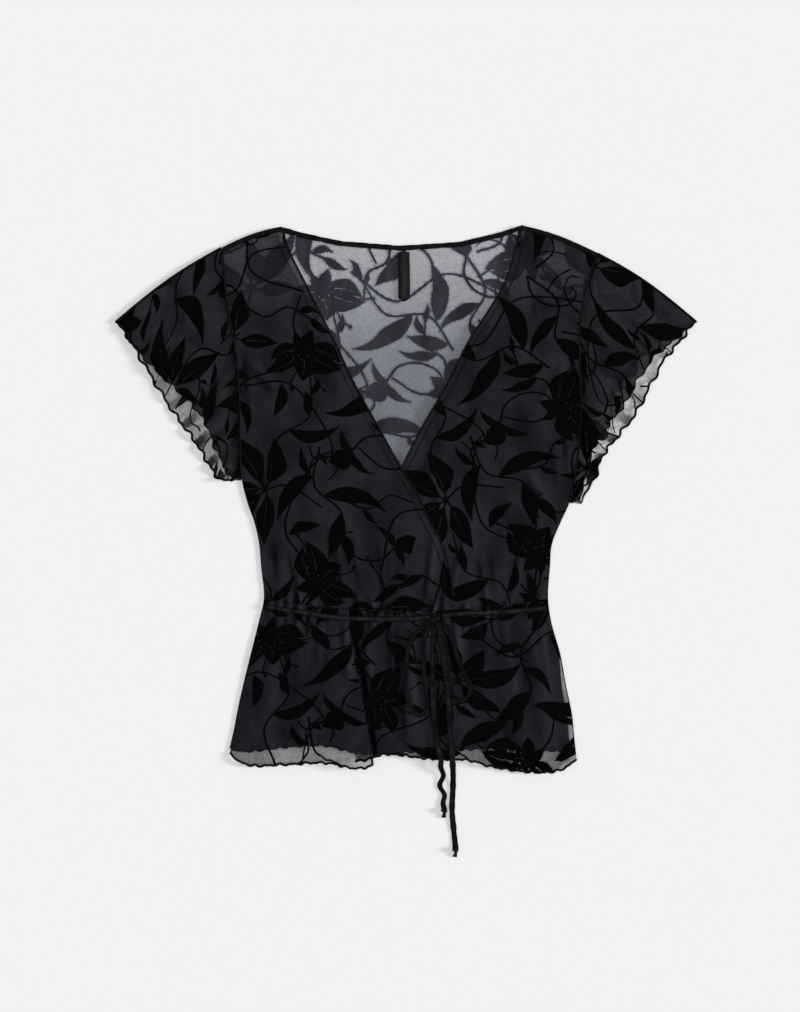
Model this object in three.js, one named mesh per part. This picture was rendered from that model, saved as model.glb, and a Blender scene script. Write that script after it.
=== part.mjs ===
// A woman's wrap top in black stretch mesh, laid flat on its back and seen from above.
// Two front bodices cross over one another, a gathered peplum hangs from the waist seam,
// short flutter sleeves fan out from the armholes, and narrow ties meet in a bow.
// Millimetres, +X to the wearer's left, +Y towards the neck, +Z up from the surface it lies on.
import * as THREE from 'three';

// Cloth, and how its layers lie on one another.
const CLOTH = 1.0;
const GAP = 0.3;
const STACK = CLOTH + GAP;
const FLOOR_LAYER = CLOTH / 2;
const OVERLAP_RISE = 1.3 * STACK;

// Where the top front starts and ends its climb, before the edge of the other front.
const CLIMB_FROM = 30;
const CLIMB_TO = 4;

// What the straight facets of a curved seam need besides its gap.
const FACET_EASE = 0.3;

// Main heights of the garment.
const SHOULDER_Y = 262;
const WAIST_Y = -104;
const HEM_Y = -272;

// The tie draws the middle of the waist seam down. Its depth there, and half its length.
const WAIST_SAG = 13;
const WAIST_HALF = 149;

// Body outline. Columns: y, right (x of the wearer's right edge), left (x of the left edge).
const BODY_SECTIONS = [
  { y: 264, right: -193, left: 202 },
  { y: 207, right: -188, left: 186 },
  { y: 157, right: -179, left: 182 },
  { y: 104, right: -175, left: 184 },
  { y: 52, right: -174, left: 181 },
  { y: 20, right: -172, left: 176 },
  { y: -4, right: -166, left: 171 },
  { y: -24, right: -159, left: 162 },
  { y: -47, right: -154, left: 153 },
  { y: -70, right: -152, left: 151 },
  { y: -104, right: -149, left: 149 },
  { y: -127, right: -154, left: 152 },
  { y: -163, right: -163, left: 162 },
  { y: -196, right: -171, left: 168 },
  { y: -225, right: -177, left: 174 },
  { y: -255, right: -182, left: 177 },
  { y: -272, right: -185, left: 179 },
];

// Crossing front edges. Columns: y, top (x of the edge that lies on top), under (x of the other).
const FRONT_EDGES = [
  { y: 284, top: -129, under: 119 },
  { y: 265, top: -124, under: 115 },
  { y: 226, top: -105, under: 103 },
  { y: 204, top: -94, under: 90 },
  { y: 158, top: -71, under: 61 },
  { y: 138, top: -62, under: 52 },
  { y: 114, top: -50, under: 39 },
  { y: 78, top: -30, under: 18 },
  { y: 35, top: -6, under: -4 },
  { y: 6, top: 12, under: -19 },
  { y: -17, top: 22, under: -30 },
  { y: -43, top: 36, under: -40 },
  { y: -74, top: 46, under: -50 },
  { y: -104, top: 50, under: -57 },
];

// Shoulder line and back neckline. Columns: x, y.
const NECK_RIGHT_X = -131;
const NECK_LEFT_X = 121;
const BACK_TOP = [
  { x: -193, y: 264 },
  { x: NECK_RIGHT_X, y: 285 },
  { x: -111, y: 279 },
  { x: -69, y: 270 },
  { x: -6, y: 265 },
  { x: 57, y: 269 },
  { x: 99, y: 279 },
  { x: NECK_LEFT_X, y: 286.5 },
  { x: 162, y: 273 },
  { x: 201, y: 258 },
];

// Hem lines of the two peplums. Columns: x, front (y of the front hem), back (y of the back hem).
const HEM_SECTIONS = [
  { x: -185, front: -267, back: -261 },
  { x: -170, front: -277, back: -264 },
  { x: -130, front: -278, back: -260 },
  { x: -86, front: -276, back: -258 },
  { x: -49, front: -280, back: -266 },
  { x: -20, front: -272, back: -265 },
  { x: 37, front: -272, back: -264 },
  { x: 64, front: -273, back: -262 },
  { x: 90, front: -280, back: -261 },
  { x: 148, front: -286, back: -263 },
  { x: 166, front: -282, back: -264 },
  { x: 179, front: -272, back: -262 },
];

// Sleeve hems from the tip to the underarm, for each of the two layers of a flattened sleeve.
// Columns: part (share of the hem walked), frontX, frontY, backX, backY.
const RIGHT_SLEEVE_HEM = [
  { part: 0, frontX: -303, frontY: 187, backX: -303, backY: 187 },
  { part: 0.12, frontX: -286, frontY: 163, backX: -289, backY: 166 },
  { part: 0.25, frontX: -268, frontY: 141, backX: -273, backY: 139 },
  { part: 0.38, frontX: -247, frontY: 121, backX: -257, backY: 112 },
  { part: 0.52, frontX: -226, frontY: 101, backX: -240, backY: 86 },
  { part: 0.66, frontX: -210, frontY: 80, backX: -222, backY: 62 },
  { part: 0.78, frontX: -200, frontY: 54, backX: -208, backY: 39 },
  { part: 0.9, frontX: -189, frontY: 33, backX: -196, backY: 22 },
  { part: 1, frontX: -180, frontY: 21, backX: -181, backY: 20 },
];
const LEFT_SLEEVE_HEM = [
  { part: 0, frontX: 303, frontY: 187, backX: 303, backY: 187 },
  { part: 0.12, frontX: 284, frontY: 169, backX: 289, backY: 168 },
  { part: 0.25, frontX: 263, frontY: 152, backX: 272, backY: 148 },
  { part: 0.38, frontX: 244, frontY: 127, backX: 257, backY: 121 },
  { part: 0.52, frontX: 230, frontY: 101, backX: 242, backY: 92 },
  { part: 0.66, frontX: 212, frontY: 78, backX: 222, backY: 66 },
  { part: 0.78, frontX: 198, frontY: 57, backX: 207, backY: 47 },
  { part: 0.9, frontX: 190, frontY: 26, backX: 197, backY: 21 },
  { part: 1, frontX: 181, frontY: -2, backX: 182, backY: -4 },
];

// Shoulder and waist ends of each front, and the armholes' ends: y of each.
const RIGHT_SHOULDER_Y = 264;
const LEFT_SHOULDER_Y = 258;
const TOP_FRONT_TOP_Y = 284;
const UNDER_FRONT_TOP_Y = 286.5;
const UNDERARM_RIGHT_Y = 20;
const UNDERARM_LEFT_Y = -4;

// How far the front stands clear of the back between the side seams.
const BILLOW = 2.6;
const BILLOW_AT_WAIST = 1.0;
const WAIST_GRIP = 26;

// Soft folds in the front. Columns: the two ends, width across, height over the cloth beside it.
const FOLD_FADE = 0.3;
const SOFT_FOLDS = [
  { x1: 45, y1: 74, x2: 14, y2: 4, width: 7, height: 1.2 },
  { x1: -118, y1: 232, x2: -62, y2: 96, width: 9, height: 1.1 },
  { x1: -150, y1: 10, x2: -96, y2: 74, width: 12, height: 1.3 },
  { x1: -148, y1: -60, x2: -70, y2: -20, width: 9, height: 1.2 },
  { x1: 146, y1: -50, x2: 92, y2: 8, width: 10, height: 1.3 },
  { x1: 158, y1: 20, x2: 118, y2: 110, width: 12, height: 1.2 },
  { x1: -100, y1: -116, x2: -122, y2: -262, width: 11, height: 1.4 },
  { x1: -6, y1: -118, x2: 2, y2: -268, width: 8, height: 1.3 },
  { x1: 74, y1: -116, x2: 84, y2: -226, width: 8, height: 1.5 },
  { x1: 84, y1: -118, x2: 122, y2: -276, width: 9, height: 1.5 },
  { x1: 126, y1: -116, x2: 150, y2: -268, width: 9, height: 1.4 },
];

// Short gathers at the waist seam. Columns: x at the seam, up and down (length each way), height.
const GATHER_WIDTH = 2.6;
const WAIST_GATHERS = [
  { x: -143, up: 10, down: 22, height: 1.1 },
  { x: -134, up: 16, down: 30, height: 1.3 },
  { x: -124, up: 12, down: 38, height: 1.1 },
  { x: -113, up: 18, down: 26, height: 1.2 },
  { x: -98, up: 8, down: 30, height: 0.9 },
  { x: -80, up: 10, down: 22, height: 0.9 },
  { x: -50, up: 22, down: 34, height: 1.3 },
  { x: -36, up: 18, down: 40, height: 1.2 },
  { x: -18, up: 10, down: 24, height: 0.9 },
  { x: 10, up: 12, down: 30, height: 1.0 },
  { x: 28, up: 20, down: 26, height: 1.2 },
  { x: 40, up: 24, down: 36, height: 1.3 },
  { x: 62, up: 10, down: 30, height: 1.0 },
  { x: 84, up: 12, down: 40, height: 1.1 },
  { x: 106, up: 9, down: 26, height: 0.9 },
  { x: 128, up: 12, down: 24, height: 1.0 },
  { x: 141, up: 10, down: 20, height: 0.9 },
];

// Ruffled hem of the peplums: the waves rise from the surface and fade out up the cloth.
const HEM_WAVE_LENGTH = 26;
const HEM_WAVE_HEIGHT = 1.8;
const HEM_WAVE_REACH = 34;
const HEM_WAVE_SWAY_LENGTH = 37;
const HEM_SCALLOP = 1.3;

// Deep fold in the front peplum, whose doubled cloth lies under the wearer's right part.
// Columns: y, edge (x of the folded edge), depth (how far the cloth runs back under it).
const DEEP_FOLD = [
  { y: -104, edge: -60, depth: 7 },
  { y: -133, edge: -59, depth: 8 },
  { y: -166, edge: -53, depth: 10 },
  { y: -196, edge: -47, depth: 12 },
  { y: -225, edge: -42, depth: 15 },
  { y: -286, edge: -33, depth: 19 },
];
const FOLD_TURN = 0.75;
const FOLD_TURN_STEPS = 4;
const FOLD_RUN_OFF = 42;

// How a waist tie climbs over the deep fold: distances before and past the folded edge.
const TIE_CLIMB_FROM = 54;
const TIE_CLIMB_TO = 12;
const TIE_DROP_FROM = 2;
const TIE_DROP_TO = 16;

// Flutter sleeves.
const SLEEVE_GAP_AT_ARMHOLE = 1.9;
const SLEEVE_GAP_AT_HEM = 3.4;
const SLEEVE_TOP_BOW = 4;
const FLUTES_A_LAYER = 9;
const FLUTE_SWAY = 0.012;
const FLUTE_SWAY_RATE = 9;
const FLUTE_HEIGHT = 2.2;
const FLUTE_GROWTH = 1.6;
const FLUTE_SCALLOP = 1.6;

// Narrow parts: binding, label, ties.
const BINDING_WIDTH = 3.6;
const BINDING_THICK = 0.8;
const BINDING_RIGHT_X = -124;
const BINDING_LEFT_X = 113;
const BINDING_STEPS = 20;
const LABEL_STEPS = 6;
const LABEL = { x: -2.5, top: 259.5, bottom: 208, width: 12.4, thick: 0.7 };
const TIE_WIDTH = 6.4;
const TIE_THICK = 1.6;
const TIE_SIDES = 8;
const TIE_STEPS = 24;
const TIE_EASE = 0.35;

// Waist ties as they lie across the front, from the side seams to the knot. Columns: x, y.
const RIGHT_TIE = [
  { x: -146.5, y: -112 },
  { x: -118, y: -117 },
  { x: -96, y: -120 },
  { x: -70, y: -124 },
  { x: -26, y: -125.5 },
  { x: 6, y: -125 },
  { x: 26, y: -123 },
];
const LEFT_TIE = [
  { x: 37.5, y: -122 },
  { x: 56, y: -120 },
  { x: 76, y: -119 },
  { x: 104, y: -118 },
  { x: 126, y: -116 },
  { x: 146.5, y: -114 },
];

// Bow and tie ends: routes of their middle lines, which start and end at the knot. Columns: x, y, z.
const KNOT = { x: 31.6, y: -122.5, z: 7.8, wide: 10.6, long: 9.6, high: 6.2 };
const RIGHT_LOOP = [
  { x: 25, y: -127, z: 7.7 },
  { x: 19, y: -131.5, z: 7.3 },
  { x: 9, y: -141, z: 6.5 },
  { x: 2, y: -158, z: 7.1 },
  { x: -0.5, y: -181, z: 7.1 },
  { x: 1, y: -203, z: 6.9 },
  { x: 7, y: -220, z: 6.7 },
  { x: 14.5, y: -226, z: 6.5 },
  { x: 21, y: -219, z: 6.3 },
  { x: 20.8, y: -203, z: 6.2 },
  { x: 19.2, y: -187, z: 6.2 },
  { x: 18, y: -168, z: 6.2 },
  { x: 18.5, y: -150, z: 5.9 },
  { x: 22, y: -137, z: 5.7 },
  { x: 26.2, y: -129.6, z: 5.7 },
];
const LEFT_LOOP = [
  { x: 37.8, y: -127.2, z: 7.6 },
  { x: 43, y: -134, z: 7.1 },
  { x: 48.5, y: -147, z: 6.0 },
  { x: 53, y: -163, z: 5.8 },
  { x: 59.5, y: -180, z: 5.8 },
  { x: 66.5, y: -194, z: 5.8 },
  { x: 65.5, y: -206, z: 5.8 },
  { x: 57.5, y: -211.5, z: 5.8 },
  { x: 49.5, y: -205, z: 5.8 },
  { x: 46, y: -191, z: 5.9 },
  { x: 44, y: -172, z: 5.9 },
  { x: 41.5, y: -152, z: 5.8 },
  { x: 37.5, y: -137, z: 5.6 },
  { x: 36.2, y: -129.8, z: 5.6 },
];
const SHORT_TAIL = [
  { x: 30.4, y: -128.4, z: 7.7 },
  { x: 29.6, y: -134, z: 7.6 },
  { x: 28.8, y: -150, z: 6.4 },
  { x: 27.8, y: -172, z: 6.1 },
  { x: 27.8, y: -196, z: 6.1 },
  { x: 28.8, y: -220, z: 6.1 },
  { x: 31, y: -245, z: 6.4 },
  { x: 34, y: -262, z: 7.5 },
  { x: 37, y: -276, z: 7.5 },
  { x: 38, y: -289, z: 3.0 },
  { x: 36.6, y: -301, z: 1.3 },
  { x: 39.6, y: -312, z: 1.0 },
  { x: 40.2, y: -322.4, z: 1.1 },
];
const LONG_TAIL = [
  { x: 33.4, y: -127.9, z: 9.6 },
  { x: 34.4, y: -134, z: 9.6 },
  { x: 37, y: -150, z: 8.2 },
  { x: 40.2, y: -172, z: 7.9 },
  { x: 43, y: -196, z: 7.9 },
  { x: 44.6, y: -216, z: 6.7 },
  { x: 46.2, y: -245, z: 6.2 },
  { x: 47.6, y: -262, z: 6.9 },
  { x: 48.8, y: -276, z: 6.9 },
  { x: 49.4, y: -289, z: 3.0 },
  { x: 49.2, y: -304, z: 1.3 },
  { x: 48.4, y: -326, z: 1.0 },
  { x: 50.4, y: -350, z: 1.0 },
  { x: 51.8, y: -363.6, z: 1.1 },
];
const TAIL_STEP = 14;
const LOOP_STEP = 11;
const END_KNOT = { wide: 7.2, long: 11, high: 5.4 };
const SHORT_END = [40.2, -328.4, 2.9];
const LONG_END = [52, -369.6, 2.9];

// How finely each panel is divided: rows and columns, and finer rows where it gathers or ruffles.
const BACK_GRID = { rows: 14, columns: 22, finer: [] };
const FRONT_GRID = { rows: 14, columns: 14, finer: [{ from: 0.94, to: 1, rows: 2, columns: 40 }] };
const RUFFLED = { from: 0.86, to: 1, rows: 2, columns: 72 };
const BACK_PEPLUM_GRID = { rows: 5, columns: 16, finer: [RUFFLED] };
const PEPLUM_GATHERS = { from: 0, to: 0.14, rows: 2, columns: 48 };
const FRONT_PEPLUM_GRID = { rows: 6, columns: 22, finer: [PEPLUM_GATHERS, RUFFLED] };
const SLEEVE_GRID = { rows: 6, columns: 12, finer: [{ from: 0.8, to: 1, rows: 2, columns: 44 }] };

// Finishes, from the cloth itself.
const MESH_CLOTH = { color: 0x1d1e22, roughness: 0.85 };
const TIE_CLOTH = { color: 0x121215, roughness: 0.8 };
const LABEL_SATIN = { color: 0x0b0b0d, roughness: 0.45 };

const { clamp, lerp, smoothstep: smooth } = THREE.MathUtils;

/** The place of `at` in a table's column `key`: the row that ends its stretch, and its share. */
function locate(table, key, at) {
  const rising = table[table.length - 1][key] > table[0][key];
  let end = 1;
  while (end < table.length - 1 && (rising ? table[end][key] < at : table[end][key] > at)) {
    end += 1;
  }
  const start = table[end - 1][key];
  return { end, share: clamp((at - start) / (table[end][key] - start), 0, 1) };
}

/** Reads column `out` where column `key` equals `at`, with straight lines between rows. */
function readStraight(table, key, out, at) {
  const { end, share } = locate(table, key, at);
  return lerp(table[end - 1][out], table[end][out], share);
}

/** Reads column `out` where column `key` equals `at`, along a smooth curve through the rows. */
function read(table, key, out, at) {
  const { end, share } = locate(table, key, at);
  const slope = (row) => (table[row][out] - table[row - 1][out]) / (table[row][key] - table[row - 1][key]);
  const span = table[end][key] - table[end - 1][key];
  const slopeIn = end > 1 ? (slope(end - 1) + slope(end)) / 2 : slope(end);
  const slopeOut = end < table.length - 1 ? (slope(end) + slope(end + 1)) / 2 : slope(end);
  const square = share * share;
  const cube = square * share;
  return (2 * cube - 3 * square + 1) * table[end - 1][out] + (cube - 2 * square + share) * span * slopeIn
    + (3 * square - 2 * cube) * table[end][out] + (cube - square) * span * slopeOut;
}

const rightEdge = (y) => read(BODY_SECTIONS, 'y', 'right', y);
const leftEdge = (y) => read(BODY_SECTIONS, 'y', 'left', y);
const topFrontEdge = (y) => read(FRONT_EDGES, 'y', 'top', y);
const underFrontEdge = (y) => read(FRONT_EDGES, 'y', 'under', y);

/** How far the waist seam hangs below its ends at a place across. */
const waistDrop = (x) => WAIST_SAG * Math.max(0, 1 - (x / WAIST_HALF) ** 2);

/** Height that one long ridge adds at a point, fading to nothing past its ends. */
function ridge(fold, x, y) {
  const along = new THREE.Vector2(fold.x2 - fold.x1, fold.y2 - fold.y1);
  const length = along.length();
  const toPoint = new THREE.Vector2(x - fold.x1, y - fold.y1);
  const share = toPoint.dot(along) / (length * length);
  const across = Math.abs(toPoint.cross(along)) / length;
  const ends = smooth(share, 0, FOLD_FADE) * (1 - smooth(share, 1 - FOLD_FADE, 1));
  return fold.height * ends * Math.exp(-((across / fold.width) ** 2));
}

/** Height that the short gathers at the waist seam add. */
function gathers(x, y) {
  const overSeam = y - WAIST_Y + waistDrop(x);
  let height = 0;
  for (const gather of WAIST_GATHERS) {
    const reach = overSeam > 0 ? gather.up : gather.down;
    const fade = Math.max(0, 1 - Math.abs(overSeam) / reach);
    height += gather.height * fade * Math.exp(-(((x - gather.x) / GATHER_WIDTH) ** 2));
  }
  return height;
}

/** Rise of the ruffled hem over the surface, the same for both peplums so that they nest. */
function hemWave(x, y) {
  const fade = smooth(-y, -HEM_Y - HEM_WAVE_REACH, -HEM_Y);
  const turn = (2 * Math.PI * x) / HEM_WAVE_LENGTH + Math.sin(x / HEM_WAVE_SWAY_LENGTH);
  return fade * HEM_WAVE_HEIGHT * (0.5 - 0.5 * Math.cos(turn));
}

/** Middle height of the back layer. */
function backHeight(x, y) {
  return FLOOR_LAYER + hemWave(x, y);
}

/** Middle height of a front layer that lies straight on the back. */
function frontHeight(x, y) {
  const across = (x - rightEdge(y)) / (leftEdge(y) - rightEdge(y));
  const arch = Math.sin(Math.PI * clamp(across, 0, 1));
  const grip = Math.exp(-(((y - WAIST_Y) / WAIST_GRIP) ** 2));
  let height = backHeight(x, y) + STACK + arch * lerp(BILLOW, BILLOW_AT_WAIST, grip);
  for (const fold of SOFT_FOLDS) {
    height += ridge(fold, x, y);
  }
  return height + gathers(x, y);
}

/** Middle height of the top front, which climbs over the edge of the other front. */
function topFrontHeight(x, y) {
  const climb = smooth(x, underFrontEdge(y) - CLIMB_FROM, underFrontEdge(y) - CLIMB_TO);
  return frontHeight(x, y) + OVERLAP_RISE * climb;
}

/** Joins two stretches of vertex numbers, which may differ in count, with triangles. */
function zip(upper, lower, faces) {
  let i = 0;
  let j = 0;
  while (i < upper.length - 1 || j < lower.length - 1) {
    const nextUpper = (i + 1) / (upper.length - 1);
    const nextLower = (j + 1) / (lower.length - 1);
    const stepUpper = j === lower.length - 1 || (i < upper.length - 1 && nextUpper <= nextLower);
    if (stepUpper) {
      faces.push([upper[i], lower[j], upper[i + 1]]);
      i += 1;
    } else {
      faces.push([upper[i], lower[j], lower[j + 1]]);
      j += 1;
    }
  }
}

/**
 * A closed cloth wall around the middle surface that rows of points describe.
 * Each row is a list of stretches, and stretches with the same place are joined to each other.
 */
function clothWall(rows, thickness, isRing = false) {
  const middle = [];
  const faces = [];
  const numbered = rows.map((row) => {
    const first = middle.length;
    return row.map((stretch, place) => {
      const numbers = stretch.map((point) => middle.push(point) - 1);
      if (place > 0) {
        numbers.unshift(numbers[0] - 1);
      }
      if (isRing && place === row.length - 1) {
        numbers.push(first);
      }
      return numbers;
    });
  });
  for (let r = 1; r < numbered.length; r += 1) {
    numbered[r].forEach((stretch, place) => zip(numbered[r - 1][place], stretch, faces));
  }
  return thicken(middle, faces, thickness);
}

/** Gives a triangulated middle surface its thickness, and closes it along its open edges. */
function thicken(middle, faces, thickness) {
  const normals = middle.map(() => new THREE.Vector3());
  const open = new Map();
  for (const [a, b, c] of faces) {
    const ab = middle[b].clone().sub(middle[a]);
    const ac = middle[c].clone().sub(middle[a]);
    const normal = ab.cross(ac);
    for (const corner of [a, b, c]) {
      normals[corner].add(normal);
    }
    for (const [from, to] of [[a, b], [b, c], [c, a]]) {
      if (!open.delete(`${to},${from}`)) {
        open.set(`${from},${to}`, [from, to]);
      }
    }
  }
  const count = middle.length;
  const positions = [];
  for (const side of [thickness / 2, -thickness / 2]) {
    middle.forEach((point, i) => {
      positions.push(point.clone().addScaledVector(normals[i].normalize(), side));
    });
  }
  const shell = [];
  for (const [a, b, c] of faces) {
    shell.push([a, b, c], [c + count, b + count, a + count]);
  }
  for (const [from, to] of open.values()) {
    shell.push([to, from, from + count], [to, from + count, to + count]);
  }
  return outward(positions, shell);
}

/** A geometry from points and faces, turned so that the faces point out of the solid. */
function outward(points, faces) {
  let volume = 0;
  for (const [a, b, c] of faces) {
    volume += points[a].dot(points[b].clone().cross(points[c]));
  }
  const turned = volume > 0 ? faces : faces.map(([a, b, c]) => [a, c, b]);
  const positions = points.flatMap((point) => point.toArray());
  const geometry = new THREE.BufferGeometry();
  geometry.setAttribute('position', new THREE.Float32BufferAttribute(positions, 3));
  geometry.setIndex(turned.flat());
  geometry.computeVertexNormals();
  return geometry;
}

/** Rows from the top edge to the bottom edge of a panel, with a column at each of the breaks. */
function panelRows(rowPlan, pointAt, breaks = [0, 1]) {
  return rowPlan.map(({ down, columns }) => breaks.slice(1).map((end, place) => {
    const start = breaks[place];
    const count = Math.round(columns * (end - start));
    const stretch = [];
    for (let i = place === 0 ? 0 : 1; i <= count; i += 1) {
      stretch.push(pointAt(lerp(start, end, i / count), down));
    }
    return stretch;
  }));
}

/** Even rows down a panel, with finer ones at an end that is gathered or ruffled. */
function planRows({ rows, columns, finer }) {
  const even = [];
  for (let i = 0; i <= rows; i += 1) {
    even.push({ down: i / rows, columns });
  }
  const kept = even.filter(({ down }) => !finer.some((end) => down >= end.from && down <= end.to));
  for (const end of finer) {
    for (let i = 0; i <= end.rows; i += 1) {
      kept.push({ down: lerp(end.from, end.to, i / end.rows), columns: end.columns });
    }
  }
  return kept.sort((a, b) => a.down - b.down);
}

/** The back bodice: shoulders and neckline at the top, armholes and side seams, waist seam. */
function backBodice() {
  const shoulderToWaist = (down) => lerp(SHOULDER_Y, WAIST_Y + GAP / 2, down);
  const pointAt = (across, down) => {
    const y = shoulderToWaist(down);
    const x = lerp(rightEdge(y), leftEdge(y), across);
    const rise = readStraight(BACK_TOP, 'x', 'y', x) - SHOULDER_Y;
    const lifted = y + rise * (1 - down) ** 3 - waistDrop(x) * down ** 3;
    const placed = lerp(rightEdge(lifted), leftEdge(lifted), across);
    return new THREE.Vector3(placed, lifted, backHeight(placed, lifted));
  };
  const shoulders = leftEdge(SHOULDER_Y) - rightEdge(SHOULDER_Y);
  const neckPoints = [NECK_RIGHT_X, NECK_LEFT_X].map((x) => (x - rightEdge(SHOULDER_Y)) / shoulders);
  return clothWall(panelRows(planRows(BACK_GRID), pointAt, [0, ...neckPoints, 1]), CLOTH);
}

/** A front bodice between two edges that both run from the shoulder to the waist seam. */
function frontBodice(edges, height) {
  const waist = WAIST_Y + GAP / 2;
  const pointAt = (across, down) => {
    const rightY = lerp(edges.rightTop, waist, down);
    const leftY = lerp(edges.leftTop, waist, down);
    const x = lerp(edges.right(rightY), edges.left(leftY), across);
    const y = lerp(rightY, leftY, across) - waistDrop(x) * down ** 3;
    return new THREE.Vector3(x, y, height(x, y));
  };
  return clothWall(panelRows(planRows(FRONT_GRID), pointAt), CLOTH);
}

/** A point of a peplum, before its height: the body outline at the sides, the hem below. */
function peplumSpot(across, down, hemColumn) {
  const waist = WAIST_Y - GAP / 2;
  const straight = lerp(waist, HEM_Y, down);
  const x = lerp(rightEdge(straight), leftEdge(straight), across);
  const drop = read(HEM_SECTIONS, 'x', hemColumn, x) - HEM_Y;
  const scallop = HEM_SCALLOP * Math.cos((4 * Math.PI * x) / HEM_WAVE_LENGTH);
  const sag = waistDrop(x) * (1 - down) ** 1.5;
  return { x, y: straight + (drop + scallop) * down ** 3 - sag };
}

/** The back peplum lies flat on the surface, and only its hem ruffles up. */
function backPeplum() {
  const pointAt = (across, down) => {
    const { x, y } = peplumSpot(across, down, 'back');
    return new THREE.Vector3(x, y, backHeight(x, y));
  };
  return clothWall(panelRows(planRows(BACK_PEPLUM_GRID), pointAt), CLOTH);
}

/** Points round a turned edge in the X-Z plane, from the layer above to the layer below. */
function turnedEdge(x, y, middle, radius, side) {
  const points = [];
  for (let i = 0; i <= FOLD_TURN_STEPS; i += 1) {
    const angle = Math.PI * (0.5 - i / FOLD_TURN_STEPS);
    const bulge = side * radius * Math.cos(angle);
    points.push(new THREE.Vector3(x + bulge, y, middle + radius * Math.sin(angle)));
  }
  return points;
}

/** One row of the front peplum: right part, turned edge, doubled part, second turn, left part. */
function foldedRow({ down, columns }) {
  const half = columns / 2;
  const waist = WAIST_Y - GAP / 2;
  const straight = lerp(waist, HEM_Y, down);
  const edge = read(DEEP_FOLD, 'y', 'edge', straight);
  const back = edge - read(DEEP_FOLD, 'y', 'depth', straight);
  const right = rightEdge(straight);
  const width = leftEdge(straight) - right;
  const spot = (x) => peplumSpot((x - right) / width, down, 'front').y;
  const layer = 2 * FOLD_TURN;
  const laid = (x, layers) => {
    const y = spot(x);
    return new THREE.Vector3(x, y, frontHeight(x, y) + layers * layer);
  };
  const overFold = (x) => laid(x, 2 * smooth(x, back - FOLD_RUN_OFF, back - FOLD_TURN));
  const rightPart = [];
  const leftPart = [];
  for (let i = 0; i < half; i += 1) {
    rightPart.push(overFold(lerp(right, edge - FOLD_TURN, i / half)));
    leftPart.push(laid(lerp(back + FOLD_TURN, right + width, (i + 1) / half), 0));
  }
  const edgeY = spot(edge);
  const backY = spot(back);
  const edgeBase = frontHeight(edge - FOLD_TURN, edgeY);
  const backBase = frontHeight(back + FOLD_TURN, backY);
  const outer = turnedEdge(edge - FOLD_TURN, edgeY, edgeBase + 1.5 * layer, FOLD_TURN, 1);
  const inner = turnedEdge(back + FOLD_TURN, backY, backBase + 0.5 * layer, FOLD_TURN, -1);
  const between = laid((edge + back) / 2, 1);
  return [rightPart, [...outer, between, ...inner], leftPart];
}

/** The front peplum, with its deep fold and ruffled hem. */
function frontPeplum() {
  return clothWall(planRows(FRONT_PEPLUM_GRID).map(foldedRow), CLOTH);
}

/** A point of one layer of a flattened sleeve: its part of the hem, and how far out from the seam. */
function sleevePoint({ side, hem, armhole, topY, underarmY }, layer, part, out) {
  const armY = lerp(topY, underarmY, part);
  const seamX = armhole(armY) + side * (GAP + FACET_EASE);
  const bow = SLEEVE_TOP_BOW * Math.sin(Math.PI * out) * (1 - part) ** 2;
  const turn = 2 * Math.PI * FLUTES_A_LAYER * (part + FLUTE_SWAY * Math.sin(FLUTE_SWAY_RATE * part));
  const rise = FLUTE_HEIGHT * (1 + FLUTE_GROWTH * part ** 2) * out ** 2 * (0.5 - 0.5 * Math.cos(turn));
  const push = FLUTE_SCALLOP * out ** 3 * Math.cos(turn);
  const mouth = Math.sin(Math.PI * part);
  const gap = lerp(SLEEVE_GAP_AT_ARMHOLE, SLEEVE_GAP_AT_HEM, out) * Math.sqrt(mouth) * smooth(mouth, 0, 1);
  const lift = layer === 'front' ? 2 * FOLD_TURN + gap : 0;
  return new THREE.Vector3(
    lerp(seamX, read(hem, 'part', `${layer}X`, part), out) + side * push,
    lerp(armY, read(hem, 'part', `${layer}Y`, part), out) + bow - push / 2,
    FLOOR_LAYER + rise + lift,
  );
}

/** Points round a turned edge of a sleeve, up from its lower layer or down to it. */
function sleeveTurn(base, outward, order) {
  const points = [];
  for (let i = 0; i <= FOLD_TURN_STEPS; i += 1) {
    const angle = Math.PI * (i / FOLD_TURN_STEPS - 0.5) * order;
    const point = base.clone().addScaledVector(outward, FOLD_TURN * (Math.cos(angle) - 1));
    point.z += FOLD_TURN * (1 + Math.sin(angle));
    points.push(point);
  }
  return points;
}

/** One flutter sleeve: a ring of two layers from the armhole to the hem, turned at its edges. */
function sleeve(plan) {
  const rows = planRows(SLEEVE_GRID).map(({ down, columns }) => {
    const front = [];
    const back = [];
    for (let i = 1; i < columns; i += 1) {
      front.push(sleevePoint(plan, 'front', i / columns, down));
      back.push(sleevePoint(plan, 'back', 1 - i / columns, down));
    }
    const tip = sleeveTurn(sleevePoint(plan, 'back', 0, down), new THREE.Vector3(0, 1, 0), 1);
    const pit = sleeveTurn(sleevePoint(plan, 'back', 1, down), new THREE.Vector3(0, -1, 0), -1);
    return [tip, front, pit, back];
  });
  return clothWall(rows, CLOTH, true);
}

/** A flat strip along a line in X-Y, laid at the heights that a function gives. */
function strip(line, width, thickness, steps, height) {
  const curve = new THREE.CatmullRomCurve3(line.map(({ x, y }) => new THREE.Vector3(x, y, 0)));
  const rows = [[], [], []];
  for (let i = 0; i <= steps; i += 1) {
    const middle = curve.getPointAt(i / steps);
    const along = curve.getTangentAt(i / steps);
    [-0.5, 0, 0.5].forEach((share, row) => {
      const x = middle.x + along.y * share * width;
      const y = middle.y - along.x * share * width;
      rows[row].push(new THREE.Vector3(x, y, height(x, y)));
    });
  }
  return clothWall(rows.map((row) => [row]), thickness);
}

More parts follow.
